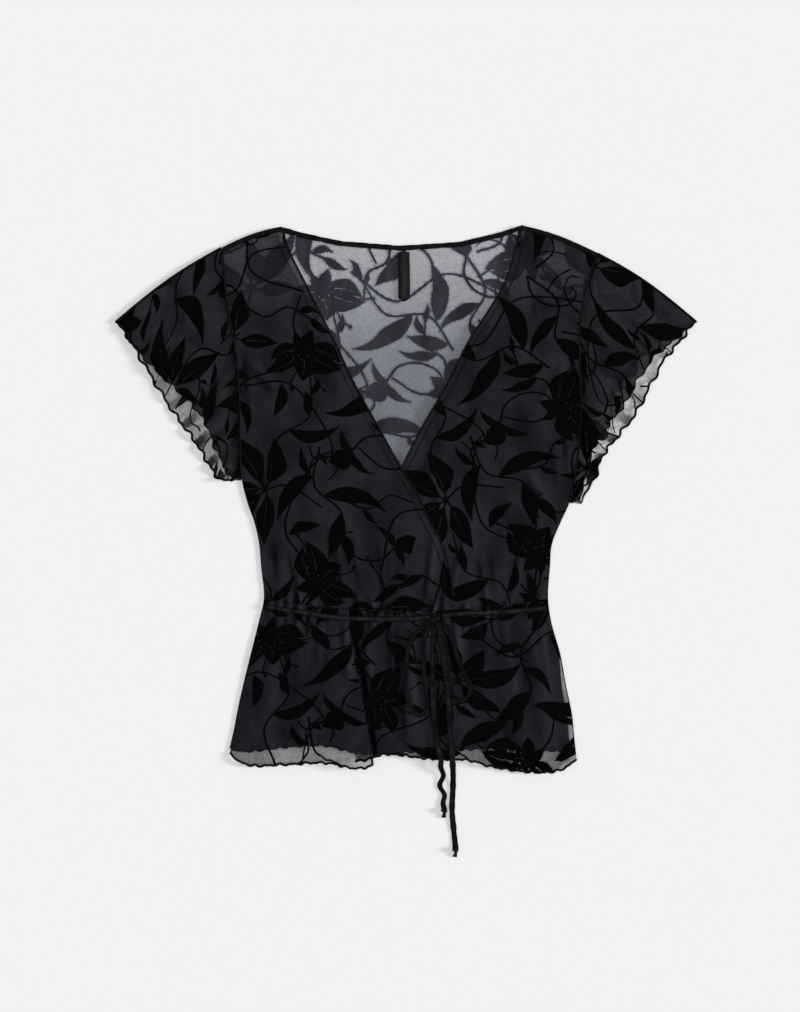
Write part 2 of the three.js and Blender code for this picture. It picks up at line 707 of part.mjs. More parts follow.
/** The turned binding that finishes the back neckline, on the inside of the back. */
function neckBinding() {
  const between = BACK_TOP.map(({ x }) => x).filter((x) => x > BINDING_RIGHT_X && x < BINDING_LEFT_X);
  const line = [BINDING_RIGHT_X, ...between, BINDING_LEFT_X].map((x) => (
    { x, y: readStraight(BACK_TOP, 'x', 'y', x) - BINDING_WIDTH / 2 - GAP }
  ));
  const level = CLOTH + GAP + BINDING_THICK / 2;
  return strip(line, BINDING_WIDTH, BINDING_THICK, BINDING_STEPS, () => level);
}

/** The blank woven label below the back neckline. */
function neckLabel() {
  const line = [{ x: LABEL.x, y: LABEL.top }, { x: LABEL.x, y: LABEL.bottom }];
  const level = CLOTH + GAP + LABEL.thick / 2;
  return strip(line, LABEL.width, LABEL.thick, LABEL_STEPS, () => level);
}

/** A waist tie as it lies over the waist, from its side seam to the knot. */
function waistTie(line) {
  const overPeplum = (x, y) => {
    const past = x - read(DEEP_FOLD, 'y', 'edge', y);
    const up = smooth(past, -TIE_CLIMB_FROM, -TIE_CLIMB_TO);
    const climb = up * (1 - smooth(past, TIE_DROP_FROM, TIE_DROP_TO));
    return frontHeight(x, y) + 4 * FOLD_TURN * climb + (CLOTH + TIE_THICK) / 2 + GAP + TIE_EASE;
  };
  return strip(line, TIE_WIDTH, TIE_THICK, TIE_STEPS, overPeplum);
}

/** A length of tie along a route: a flat oval section swept along a smooth curve. */
function tieLength(route, step) {
  const points = route.map(({ x, y, z }) => new THREE.Vector3(x, y, z));
  const curve = new THREE.CatmullRomCurve3(points, false, 'centripetal');
  const section = new THREE.Shape();
  for (let i = 0; i < TIE_SIDES; i += 1) {
    const angle = (2 * Math.PI * (i + 0.5)) / TIE_SIDES;
    const corner = [(TIE_THICK / 2) * Math.cos(angle), (TIE_WIDTH / 2) * Math.sin(angle)];
    if (i === 0) {
      section.moveTo(...corner);
    } else {
      section.lineTo(...corner);
    }
  }
  const steps = Math.round(curve.getLength() / step);
  return new THREE.ExtrudeGeometry(section, { steps, bevelEnabled: false, extrudePath: curve });
}

/** A knot: a rounded lump of the given size. */
function knotLump({ wide, long, high }) {
  const lump = new THREE.SphereGeometry(0.5, 12, 8);
  lump.scale(wide, long, high);
  return lump;
}

const garment = new THREE.Group();

/** Adds a named piece with its finish to the garment. */
function add(name, geometry, finish, place = [0, 0, 0]) {
  const piece = new THREE.Mesh(geometry, new THREE.MeshStandardMaterial({ ...finish, metalness: 0 }));
  piece.name = name;
  piece.position.set(...place);
  garment.add(piece);
}

add('back_bodice', backBodice(), MESH_CLOTH);
add('back_peplum', backPeplum(), MESH_CLOTH);
add('front_bodice_left', frontBodice({
  rightTop: UNDER_FRONT_TOP_Y, leftTop: LEFT_SHOULDER_Y, right: underFrontEdge, left: leftEdge,
}, frontHeight), MESH_CLOTH);
add('front_bodice_right', frontBodice({
  rightTop: RIGHT_SHOULDER_Y, leftTop: TOP_FRONT_TOP_Y, right: rightEdge, left: topFrontEdge,
}, topFrontHeight), MESH_CLOTH);
add('front_peplum', frontPeplum(), MESH_CLOTH);
add('sleeve_right', sleeve({
  side: -1, hem: RIGHT_SLEEVE_HEM, armhole: rightEdge, topY: RIGHT_SHOULDER_Y, underarmY: UNDERARM_RIGHT_Y,
}), MESH_CLOTH);
add('sleeve_left', sleeve({
  side: 1, hem: LEFT_SLEEVE_HEM, armhole: leftEdge, topY: LEFT_SHOULDER_Y, underarmY: UNDERARM_LEFT_Y,
}), MESH_CLOTH);
add('back_neck_binding', neckBinding(), TIE_CLOTH);
add('neck_label', neckLabel(), LABEL_SATIN);
add('waist_tie_right', waistTie(RIGHT_TIE), TIE_CLOTH);
add('waist_tie_left', waistTie(LEFT_TIE), TIE_CLOTH);
add('bow_knot', knotLump(KNOT), TIE_CLOTH, [KNOT.x, KNOT.y, KNOT.z]);
add('bow_loop_right', tieLength(RIGHT_LOOP, LOOP_STEP), TIE_CLOTH);
add('bow_loop_left', tieLength(LEFT_LOOP, LOOP_STEP), TIE_CLOTH);
add('tie_tail_short', tieLength(SHORT_TAIL, TAIL_STEP), TIE_CLOTH);
add('tie_tail_long', tieLength(LONG_TAIL, TAIL_STEP), TIE_CLOTH);
add('tail_knot_short', knotLump(END_KNOT), TIE_CLOTH, SHORT_END);
add('tail_knot_long', knotLump(END_KNOT), TIE_CLOTH, LONG_END);

export default garment;
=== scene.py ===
"""A wrap top of black burnt-out velvet mesh, laid flat on its back under soft studio light.

Sizes are in millimetres in the garment's own frame and become metres when a mesh is made:
+X to the wearer's left, +Y to the neck, +Z up from the surface that the top lies on.
"""

import logging
import math
from dataclasses import dataclass, field
from enum import Enum
from functools import partial
from typing import Any, Callable, Sequence

import bpy
import numpy as np
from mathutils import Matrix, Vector
from mathutils.geometry import delaunay_2d_cdt
from numpy.linalg import norm


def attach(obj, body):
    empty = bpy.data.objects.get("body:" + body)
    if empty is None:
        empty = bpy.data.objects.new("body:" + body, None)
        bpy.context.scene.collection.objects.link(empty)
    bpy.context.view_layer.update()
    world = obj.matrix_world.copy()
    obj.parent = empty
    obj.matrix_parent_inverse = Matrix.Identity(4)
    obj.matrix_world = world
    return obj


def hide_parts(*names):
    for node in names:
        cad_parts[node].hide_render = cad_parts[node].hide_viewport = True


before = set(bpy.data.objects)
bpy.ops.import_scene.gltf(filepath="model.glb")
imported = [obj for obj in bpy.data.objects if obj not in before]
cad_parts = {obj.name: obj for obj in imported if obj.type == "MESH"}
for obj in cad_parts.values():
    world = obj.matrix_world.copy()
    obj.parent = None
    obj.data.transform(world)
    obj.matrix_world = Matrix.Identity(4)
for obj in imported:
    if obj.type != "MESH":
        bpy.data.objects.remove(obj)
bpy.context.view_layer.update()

# Short names for types: a rule gives something for each place, a surface a height at x and y
Array = np.ndarray
Values = Array | float
Spot = Sequence[float]
Span = tuple[float, float]
Rows = Sequence[Spot]
Rule = Callable[[Array], Array]
Surface = Callable[[Array, Array], Array]
Piece = bpy.types.Object
Material = bpy.types.Material
Tree = bpy.types.NodeTree
Socket = bpy.types.NodeSocket

LOG = logging.getLogger("wrap_top")
MM = 0.001
FULL_TURN = 2 * math.pi
BODY = "root"


# Tables and curves

SPLINE_STEPS = 24
TINY = 1e-9


@dataclass(frozen=True)
class Table:
    """Rows of numbers under named columns, read along a smooth curve through the rows."""

    columns: tuple[str, ...]
    rows: tuple[tuple[float, ...], ...]

    def column(self, name: str) -> Array:
        """All the numbers of one column."""
        return np.array([row[self.columns.index(name)] for row in self.rows], float)

    def pair(self, key: str, out: str) -> tuple[Array, Array]:
        """Two columns, in the rising order of the first."""
        keys, values = self.column(key), self.column(out)
        return (keys, values) if keys[-1] > keys[0] else (keys[::-1], values[::-1])

    def read(self, key: str, out: str, at: Values) -> Array:
        """Read a column along a smooth curve, held at its end rows.

        Args:
            key: the column that says where.
            out: the column to read.
            at: places in the key column.

        Returns:
            The values there.
        """
        keys, values = self.pair(key, out)
        at = np.asarray(at, float)
        slopes = np.diff(values) / np.diff(keys)
        tangents = np.concatenate([slopes[:1], (slopes[:-1] + slopes[1:]) / 2, slopes[-1:]])
        end = np.clip(np.searchsorted(keys, at), 1, len(keys) - 1)
        span = keys[end] - keys[end - 1]
        share = np.clip((at - keys[end - 1]) / span, 0, 1)
        square, cube = share**2, share**3
        return (
            (2 * cube - 3 * square + 1) * values[end - 1]
            + (cube - 2 * square + share) * span * tangents[end - 1]
            + (3 * square - 2 * cube) * values[end]
            + (cube - square) * span * tangents[end]
        )

    def read_straight(self, key: str, out: str, at: Values) -> Array:
        """Read a column with straight lines between its rows."""
        return np.interp(at, *self.pair(key, out))


def mix(start: Values, end: Values, share: Values) -> Values:
    """A value between two others."""
    return start + (end - start) * share


def smooth(at: Values, low: float, high: float) -> Array:
    """A soft step from 0 at low to 1 at high."""
    share = np.clip((np.asarray(at, float) - low) / (high - low), 0, 1)
    return share * share * (3 - 2 * share)


def smooth_path(points: Rows, step: float) -> Array:
    """Walk a smooth curve through a list of points in even steps.

    Args:
        points: the points that the curve passes through.
        step: the length of a step.

    Returns:
        The points of the walk, one a row.
    """
    knots = np.array(points, float)
    padded = np.vstack([2 * knots[0] - knots[1], knots, 2 * knots[-1] - knots[-2]])
    shares = np.linspace(0, 1, SPLINE_STEPS, endpoint=False)[:, None]
    stretches = []
    for before, start, end, after in zip(padded, padded[1:], padded[2:], padded[3:]):
        bend = 2 * before - 5 * start + 4 * end - after
        twist = 3 * (start - end) + after - before
        stretches.append(start + shares * ((end - before) + shares * (bend + shares * twist)) / 2)
    fine = np.vstack([*stretches, knots[-1:]])
    walked = np.concatenate([[0], np.cumsum(norm(np.diff(fine, axis=0), axis=1))])
    even = np.linspace(0, walked[-1], max(2, round(walked[-1] / step)) + 1)
    return np.column_stack([np.interp(even, walked, fine[:, axis]) for axis in range(fine.shape[1])])


# The garment's own sizes

WAIST_Y = -104.0
HEM_Y = -272.0
SEAM_GAP = 0.3
WAIST_SAG = 13.0
WAIST_HALF = 149.0
RIGHT_SHOULDER_X = (-193.0, -131.0)
LEFT_SHOULDER_X = (201.0, 121.0)
SHOULDER_BOW = 3.0
NECK_LIFT = 1.6

BODY_OUTLINE = Table(("y", "right", "left"), (
    (264, -193, 202), (207, -188, 186), (157, -179, 182), (104, -175, 184), (52, -174, 181),
    (20, -172, 176), (-4, -166, 171), (-24, -159, 162), (-47, -154, 153), (-70, -152, 151),
    (-104, -149, 149), (-127, -154, 152), (-163, -163, 162), (-196, -171, 168), (-225, -177, 174),
    (-255, -182, 177), (-272, -185, 179),
))

FRONT_EDGES = Table(("y", "top", "under"), (
    (284, -129, 119), (265, -124, 115), (226, -105, 103), (204, -94, 90), (158, -71, 61),
    (138, -62, 52), (114, -50, 39), (78, -30, 18), (35, -6, -4), (6, 12, -19),
    (-17, 22, -30), (-43, 36, -40), (-74, 46, -50), (-104, 50, -57),
))

BACK_TOP = Table(("x", "y"), (
    (-193, 264), (-131, 285), (-111, 279), (-69, 270), (-6, 265), (57, 269), (99, 279),
    (121, 286.5), (162, 273), (201, 258),
))

HEMS = Table(("x", "front", "back"), (
    (-185, -267, -261), (-170, -277, -264), (-130, -278, -260), (-86, -276, -258), (-49, -280, -266),
    (-20, -272, -265), (37, -272, -264), (64, -273, -262), (90, -280, -261), (148, -286, -263),
    (166, -282, -264), (179, -272, -262),
))

SLEEVE_COLUMNS = ("part", "front_x", "front_y", "back_x", "back_y")
RIGHT_SLEEVE_HEM = Table(SLEEVE_COLUMNS, (
    (0, -303, 187, -303, 187), (0.12, -286, 163, -289, 166), (0.25, -268, 141, -273, 139),
    (0.38, -247, 121, -257, 112), (0.52, -226, 101, -240, 86), (0.66, -210, 80, -222, 62),
    (0.78, -200, 54, -208, 39), (0.9, -189, 33, -196, 22), (1, -180, 21, -181, 20),
))
LEFT_SLEEVE_HEM = Table(SLEEVE_COLUMNS, (
    (0, 303, 187, 303, 187), (0.12, 284, 169, 289, 168), (0.25, 263, 152, 272, 148),
    (0.38, 244, 127, 257, 121), (0.52, 230, 101, 242, 92), (0.66, 212, 78, 222, 66),
    (0.78, 198, 57, 207, 47), (0.9, 190, 26, 197, 21), (1, 181, -2, 182, -4),
))

DEEP_FOLD = Table(("y", "edge", "depth"), (
    (-104, -60, 7), (-133, -59, 8), (-166, -53, 10), (-196, -47, 12), (-225, -42, 15), (-286, -33, 19),
))

SOFT_FOLDS = Table(("x1", "y1", "x2", "y2", "width", "height"), (
    (45, 74, 14, 4, 7, 1.2), (-118, 232, -62, 96, 9, 1.1),
    (-150, 10, -96, 74, 12, 1.3), (-148, -60, -70, -20, 9, 1.2),
    (146, -50, 92, 8, 10, 1.3), (158, 20, 118, 110, 12, 1.2),
    (-100, -116, -122, -262, 11, 1.4), (-6, -118, 2, -268, 8, 1.3),
    (74, -116, 84, -226, 8, 1.5), (84, -118, 122, -276, 9, 1.5),
    (126, -116, 150, -268, 9, 1.4),
))

FINE_CREASES = Table(("x1", "y1", "x2", "y2", "width", "height"), (
    (-66, -116, -60, -200, 3.0, 0.7), (-44, -116, -36, -236, 3.4, 0.8),
    (-16, -117, -14, -190, 2.6, 0.6), (2, -117, 8, -226, 3.0, 0.8),
    (20, -116, 22, -182, 2.6, 0.6), (50, -114, 60, -210, 3.0, 0.8),
    (70, -112, 84, -190, 2.8, 0.7), (98, -110, 116, -220, 3.2, 0.8),
    (136, -108, 150, -196, 2.8, 0.6), (-112, -110, -130, -214, 3.0, 0.8),
    (-130, -108, -146, -190, 2.6, 0.6), (-90, -112, -92, -180, 2.6, 0.6),
    (40, -114, 72, -8, 3.4, 0.6), (20, -116, 30, -30, 3.0, 0.7),
    (-20, -116, -28, -36, 3.2, 0.6), (-60, -114, -82, -16, 3.4, 0.6),
    (-110, -110, -122, -46, 2.8, 0.7), (110, -110, 126, -26, 3.0, 0.7),
    (84, -112, 78, -54, 2.6, 0.6), (-156, 2, -118, 46, 4.0, 0.7),
    (154, -14, 122, 34, 4.0, 0.7), (-170, 150, -132, 108, 4.4, 0.6),
    (168, 146, 136, 96, 4.4, 0.6),
))

# Lines of painted shade along the creases: x1, y1, x2, y2, width, strength
CREASE_SHADOWS = Table(("x1", "y1", "x2", "y2", "width", "strength"), (
    (-7, -126, -1, -268, 2.6, 0.85), (42, -130, 57, -204, 3.0, 0.6),
    (75, -132, 88, -184, 3.4, 0.45), (124, -128, 137, -204, 3.0, 0.4),
    (-92, -128, -104, -214, 3.0, 0.35), (-132, -124, -146, -190, 2.6, 0.4),
    (164, 108, 168, 26, 3.4, 0.75), (150, 66, 158, 6, 2.6, 0.5),
    (178, 180, 172, 112, 3.0, 0.6), (-170, 168, -166, 66, 3.6, 0.65),
    (-158, 70, -152, 6, 2.6, 0.45), (-140, -30, -134, -98, 3.0, 0.5),
    (-118, -46, -112, -100, 2.4, 0.45), (-60, -30, -48, -104, 3.0, 0.45),
    (-22, -40, -18, -106, 2.6, 0.5), (88, -44, 92, -104, 2.6, 0.4),
    (126, -34, 130, -100, 3.0, 0.5), (18, 40, 38, -30, 3.2, 0.5),
))

WAIST_GATHERS = Table(("x", "up", "down", "height"), (
    (-143, 10, 22, 1.1), (-134, 16, 30, 1.3), (-124, 12, 38, 1.1), (-113, 18, 26, 1.2),
    (-98, 8, 30, 0.9), (-80, 10, 22, 0.9), (-50, 22, 34, 1.3), (-36, 18, 40, 1.2),
    (-18, 10, 24, 0.9), (10, 12, 30, 1.0), (28, 20, 26, 1.2), (40, 24, 36, 1.3),
    (62, 10, 30, 1.0), (84, 12, 40, 1.1), (106, 9, 26, 0.9), (128, 12, 24, 1.0),
    (141, 10, 20, 0.9),
))

HEM_WAVES = Table(("height", "length", "sway", "sway_length"), (
    (0.55, 13, 1.4, 31), (0.35, 8.3, 2.1, 47), (0.15, 5.1, 0, 1),
))


def waist_drop(x: Values) -> Array:
    """How far the tie draws the waist seam down below its ends."""
    return WAIST_SAG * np.maximum(0, 1 - (np.asarray(x, float) / WAIST_HALF) ** 2)


@dataclass(frozen=True)
class Laying:
    """How the layers of cloth lie on each other: their heights over the surface."""

    floor_layer: float = 0.5
    stack: float = 1.3
    overlap_rise: float = 1.69
    overlap_from: float = 30.0
    overlap_to: float = 4.0
    billow: float = 2.6
    billow_at_waist: float = 1.0
    waist_grip: float = 26.0
    gather_width: float = 2.6
    wave_length: float = 26.0
    wave_height: float = 1.8
    wave_reach: float = 34.0
    wave_sway_length: float = 37.0
    fade_in: float = 0.3
    back_share: float = 0.35
    fold_contrast: float = 1.4
    # The next two numbers paint a highlight on the lit side of each fold and shade on its other side
    lit_gain: float = 0.5
    shade_depth: float = 0.75
    # The next four place the painted shadow beside the deep fold's turned edge: middle, width, start below
    # the waist, fade
    fold_shadow_middle: float = 3.7
    fold_shadow_width: float = 3.6
    fold_shadow_from: float = 6.0
    fold_shadow_fade: float = 14.0

    def back(self, x: Array, y: Array) -> Array:
        """Height of the back layer, which its ruffled hem lifts, and its own low creases."""
        fade = smooth(-y, -HEM_Y - self.wave_reach, -HEM_Y)
        turn = FULL_TURN * x / self.wave_length + np.sin(x / self.wave_sway_length)
        wave = fade * self.wave_height * (0.5 - 0.5 * np.cos(turn))
        return self.floor_layer + wave + self.back_share * self.gathers(x, y)

    def soft_folds(self, x: Array, y: Array) -> Array:
        """Height that the long soft folds add, each fading to nothing at its ends."""
        return self.long_folds(SOFT_FOLDS, x, y) + self.long_folds(FINE_CREASES, x, y)

    def long_folds(self, folds: Table, x: Array, y: Array) -> Array:
        """What the rows of a table of folds add up to, each strongest along its middle."""
        height = np.zeros_like(x)
        for x1, y1, x2, y2, width, rise in folds.rows:
            along_x, along_y = x2 - x1, y2 - y1
            length = math.hypot(along_x, along_y)
            share = ((x - x1) * along_x + (y - y1) * along_y) / length**2
            across = ((x - x1) * along_y - (y - y1) * along_x) / length
            ends = smooth(share, 0, self.fade_in) * (1 - smooth(share, 1 - self.fade_in, 1))
            height = height + rise * ends * np.exp(-((across / width) ** 2))
        return height

    def gathers(self, x: Array, y: Array) -> Array:
        """Height that the short gathers at the waist seam add."""
        over_seam = y - WAIST_Y + waist_drop(x)
        height = np.zeros_like(x)
        for at, up, down, rise in WAIST_GATHERS.rows:
            reach = np.where(over_seam > 0, up, down)
            fade = np.maximum(0, 1 - np.abs(over_seam) / reach)
            height = height + rise * fade * np.exp(-(((x - at) / self.gather_width) ** 2))
        return height

    def front(self, x: Array, y: Array) -> Array:
        """Height of a front layer that lies straight on the back."""
        across = (x - right_edge(y)) / (left_edge(y) - right_edge(y))
        arch = np.sin(math.pi * np.clip(across, 0, 1))
        grip = np.exp(-(((y - WAIST_Y) / self.waist_grip) ** 2))
        swell = arch * mix(self.billow, self.billow_at_waist, grip)
        return self.back(x, y) + self.stack + swell + self.soft_folds(x, y) + self.gathers(x, y)

    def tone(self, x: Array, y: Array) -> Array:
        """How light the yarn looks: a painted highlight on a fold's lit side and painted shade on its other
        side.
        """
        shift = self.gather_width
        # Painted highlight and painted shade: the folds, shifted towards and away from the side light
        lit = self.gathers(x - shift, y) + self.soft_folds(x - shift, y - shift / 2)
        shaded = self.gathers(x + shift, y) + self.soft_folds(x + shift, y + shift / 2)
        gain = self.lit_gain * np.tanh(self.fold_contrast * lit)
        loss = self.shade_depth * np.tanh(self.fold_contrast * shaded)
        # Painted shade along the lines of the crease table
        return np.maximum(0, 1 + gain - loss) * (1 - np.minimum(1, self.long_folds(CREASE_SHADOWS, x, y)))

    def fold_shadow_line(self, x: Array, y: Array) -> Array:
        """How much painted shadow lies beside the turned edge of the deep fold, from 0 to 1."""
        beyond = x - DEEP_FOLD.read("y", "edge", y) - self.fold_shadow_middle
        below = smooth(WAIST_Y - self.fold_shadow_from - y, 0, self.fold_shadow_fade)
        return below * np.exp(-((beyond / self.fold_shadow_width) ** 4))

    def top_front(self, x: Array, y: Array) -> Array:
        """Height of the top front, which climbs over the edge of the other front."""
        beyond = x - under_front_edge(y)
        return self.front(x, y) + self.overlap_rise * smooth(beyond, -self.overlap_from, -self.overlap_to)


LAYING = Laying()

# Edges of the body and of the crossing fronts: x for each y
right_edge = partial(BODY_OUTLINE.read, "y", "right")
left_edge = partial(BODY_OUTLINE.read, "y", "left")
top_front_edge = partial(FRONT_EDGES.read, "y", "top")
under_front_edge = partial(FRONT_EDGES.read, "y", "under")


def shoulder_bow(x: Values) -> Array:
    """How far the cloth's edge rises over the solids' straight shoulders and neckline."""
    right, left = (
        np.clip((np.asarray(x, float) - outer) / (inner - outer), 0, 1)
        for outer, inner in (RIGHT_SHOULDER_X, LEFT_SHOULDER_X)
    )
    arch = np.sin(math.pi * right) + np.sin(math.pi * left)
    return NECK_LIFT * np.minimum(right, left) + SHOULDER_BOW * arch


def uneven_wave(along: Array) -> Array:
    """A small wave of uneven length and height, from about -1 to 1."""
    return sum(
        height * np.cos(FULL_TURN * along / length + sway * np.sin(along / sway_length))
        for height, length, sway, sway_length in HEM_WAVES.rows
    )


# Meshes

FLOOR_GAP = 0.05


def make_mesh(name: str, points: Array, faces: Sequence[Sequence[int]],
              finish: Material) -> Piece:
    """Make a smooth-shaded mesh object from points in millimetres.

    Args:
        name: the piece's name.
        points: one point a row.
        faces: point numbers, one face a row.
        finish: its material.

    Returns:
        The object, linked into the scene.
    """
    mesh = bpy.data.meshes.new(name)
    mesh.from_pydata((np.asarray(points) * MM).tolist(), [], [tuple(map(int, face)) for face in faces])
    mesh.polygons.foreach_set("use_smooth", [True] * len(mesh.polygons))
    mesh.materials.append(finish)
    mesh.validate()
    mesh.update()
    piece = bpy.data.objects.new(name, mesh)
    bpy.context.scene.collection.objects.link(piece)
    return piece


class Slot(Enum):
    """The material slots of the solids."""

    MESH = "mesh_cloth"
    TIE = "tie_cloth"
    LABEL = "label_satin"


def dress(piece: Piece, slot: Slot, *nodes: str) -> Piece:
    """Give a piece its place in the model: what carries it and what it stands for."""
    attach(piece, BODY)
    if nodes:
        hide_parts(*nodes)
    return piece


def set_shade(piece: Piece, name: str, values: Array) -> None:
    """Keep one number at each point of a piece for its material to read."""
    piece.data.attributes.new(name, "FLOAT", "POINT").data.foreach_set("value", np.asarray(values, float))


def point_normals(points: Array, faces: Array) -> Array:
    """Unit normals at the points of a triangle mesh."""
    corners = points[faces]
    flat = np.cross(corners[:, 1] - corners[:, 0], corners[:, 2] - corners[:, 0])
    normals = np.zeros_like(points)
    for corner in range(3):
        np.add.at(normals, faces[:, corner], flat)
    return normals / np.maximum(norm(normals, axis=1), TINY)[:, None]


def inside(points: Array, outline: Array) -> Array:
    """Which points lie inside a closed outline."""
    x, y = points.T
    found = np.zeros(len(points), bool)
    for (x1, y1), (x2, y2) in zip(outline, np.roll(outline, -1, axis=0)):
        if y1 == y2:
            continue
        crosses = (y1 > y) != (y2 > y)
        found ^= crosses & (x < (x2 - x1) * (y - y1) / (y2 - y1) + x1)
    return found


def round_section(width: float, height: float, sides: int) -> Array:
    """Points round an oval section."""
    angles = np.arange(sides) * FULL_TURN / sides
    return np.column_stack([np.cos(angles) * width / 2, np.sin(angles) * height / 2])


def sweep(path: Array, section: Array, roll: Values = 0.0, scale: Values = 1.0,
          closed: bool = False) -> tuple[Array, list[list[int]]]:
    """Sweep a section along a path, kept near the vertical and over the surface.

    Args:
        path: points of the middle line.
        section: points of the section, across and up.
        roll: turn about the path at each point, in radians.
        scale: size of the section at each point.
        closed: whether the path is a ring.

    Returns:
        The points, and the faces of a closed skin.
    """
    count, sides = len(path), len(section)
    ahead = np.roll(path, -1, axis=0) if closed else np.vstack([path[1:], 2 * path[-1] - path[-2]])
    behind = np.roll(path, 1, axis=0) if closed else np.vstack([2 * path[0] - path[1], path[:-1]])
    along = ahead - behind
    along /= norm(along, axis=1)[:, None]
    across = np.cross(along, (0, 0, 1.0))
    across /= np.maximum(norm(across, axis=1), TINY)[:, None]
    up = np.cross(across, along)
    turns = np.broadcast_to(roll, count)[:, None]
    sizes = np.broadcast_to(scale, count)[:, None, None]
    turned_across = across * np.cos(turns) + up * np.sin(turns)
    turned_up = up * np.cos(turns) - across * np.sin(turns)
    rings = path[:, None] + sizes * (
        section[None, :, :1] * turned_across[:, None] + section[None, :, 1:] * turned_up[:, None]
    )
    faces = []
    for ring in range(count if closed else count - 1):
        here, there = ring * sides, ((ring + 1) % count) * sides
        for side in range(sides):
            beside = (side + 1) % sides
            faces.append([here + side, here + beside, there + beside, there + side])
    if not closed:
        faces.append(list(range(sides))[::-1])
        faces.append([(count - 1) * sides + side for side in range(sides)])
    points = rings.reshape(-1, 3)
    points[:, 2] = np.maximum(points[:, 2], FLOOR_GAP)
    return points, faces


# Finishes

UNDER_VELVET = 0.82


def linear(hex_colour: str) -> tuple[float, float, float, float]:
    """Turn an sRGB hex colour into linear light."""
    channels = (int(hex_colour[place:place + 2], 16) / 255 for place in (1, 3, 5))
    red, green, blue = (c / 12.92 if c <= 0.04045 else ((c + 0.055) / 1.055) ** 2.4 for c in channels)
    return red, green, blue, 1.0


def add_node(tree: Tree, kind: str, settings: dict[str, Any] | None = None,
             inputs: dict[int | str, Any] | None = None) -> bpy.types.Node:
    """Add one node with its settings, and set or link its inputs.

    Args:
        tree: the material's nodes.
        kind: the node's type.
        settings: its properties.
        inputs: for each socket, a value or the output to link to it.

    Returns:
        The node.
    """
    node = tree.nodes.new(kind)
    for name, value in (settings or {}).items():
        setattr(node, name, value)
    for socket, value in (inputs or {}).items():
        if isinstance(value, Socket):
            tree.links.new(value, node.inputs[socket])
        else:
            node.inputs[socket].default_value = value
    return node


def calculate(tree: Tree, operation: str, *values: Any, is_clamped: bool = False) -> Socket:
    """Add one step of arithmetic on numbers and outputs."""
    settings = {"operation": operation, "use_clamp": is_clamped}
    return add_node(tree, "ShaderNodeMath", settings, dict(enumerate(values))).outputs[0]


def attribute(tree: Tree, name: str) -> Socket:
    """A number that the piece keeps at each of its points."""
    return add_node(tree, "ShaderNodeAttribute", {"attribute_name": name}).outputs["Fac"]


def noise(tree: Tree, place: Socket, size: float, detail: float) -> Socket:
    """Soft noise with spots of a size in millimetres."""
    inputs = {"Vector": place, "Scale": 1 / (size * MM), "Detail": detail}
    return add_node(tree, "ShaderNodeTexNoise", inputs=inputs).outputs["Fac"]


def ramp(tree: Tree, value: Socket, low: float, high: float, first: float = 0.0, last: float = 1.0) -> Socket:
    """A straight ramp from first at low to last at high."""
    inputs = {"Value": value, "From Min": low, "From Max": high, "To Min": first, "To Max": last}
    return add_node(tree, "ShaderNodeMapRange", inputs=inputs).outputs[0]


def two_tone(tree: Tree, share: Socket, first: str, second: str) -> Socket:
    """A blend of two hex colours."""
    inputs = {0: share, 6: linear(first), 7: linear(second)}
    return add_node(tree, "ShaderNodeMix", {"data_type": "RGBA"}, inputs).outputs[2]


def relief(tree: Tree, height: Socket, strength: float, depth: float) -> Socket:
    """Fine relief of a depth in millimetres, seen as shading alone."""
    inputs = {"Height": height, "Strength": strength, "Distance": depth * MM}
    return add_node(tree, "ShaderNodeBump", inputs=inputs).outputs[0]


def grating(tree: Tree, place: Socket, pitch: float, angle: float) -> Socket:
    """Parallel lines over a surface, from -1 to 1.

    Args:
        tree: the material's nodes.
        place: coordinates in metres.
        pitch: distance from line to line in millimetres.
        angle: direction of the steps from line to line, in degrees from +X.

    Returns:
        The output that swings from line to line.
    """
    reach = FULL_TURN / (pitch * MM)
    step = (reach * math.cos(math.radians(angle)), reach * math.sin(math.radians(angle)), 0)
    phase = add_node(tree, "ShaderNodeVectorMath", {"operation": "DOT_PRODUCT"}, {0: place, 1: step})
    return calculate(tree, "SINE", phase.outputs["Value"])


@dataclass(frozen=True)
class Finish:
    """A material of one shader, named after the real one."""

    name: str

    def shade(self, tree: Tree, place: Socket) -> dict[str, Any]:
        """The shader's inputs, from coordinates in metres."""
        raise NotImplementedError

    def make(self) -> Material:
        """Make the material."""
        material = bpy.data.materials.new(self.name)
        material.use_nodes = True
        tree = material.node_tree
        tree.nodes.clear()
        place = add_node(tree, "ShaderNodeTexCoord").outputs["Object"]
        shader = add_node(tree, "ShaderNodeBsdfPrincipled", inputs=self.shade(tree, place))
        add_node(tree, "ShaderNodeOutputMaterial", inputs={"Surface": shader.outputs[0]})
        return material


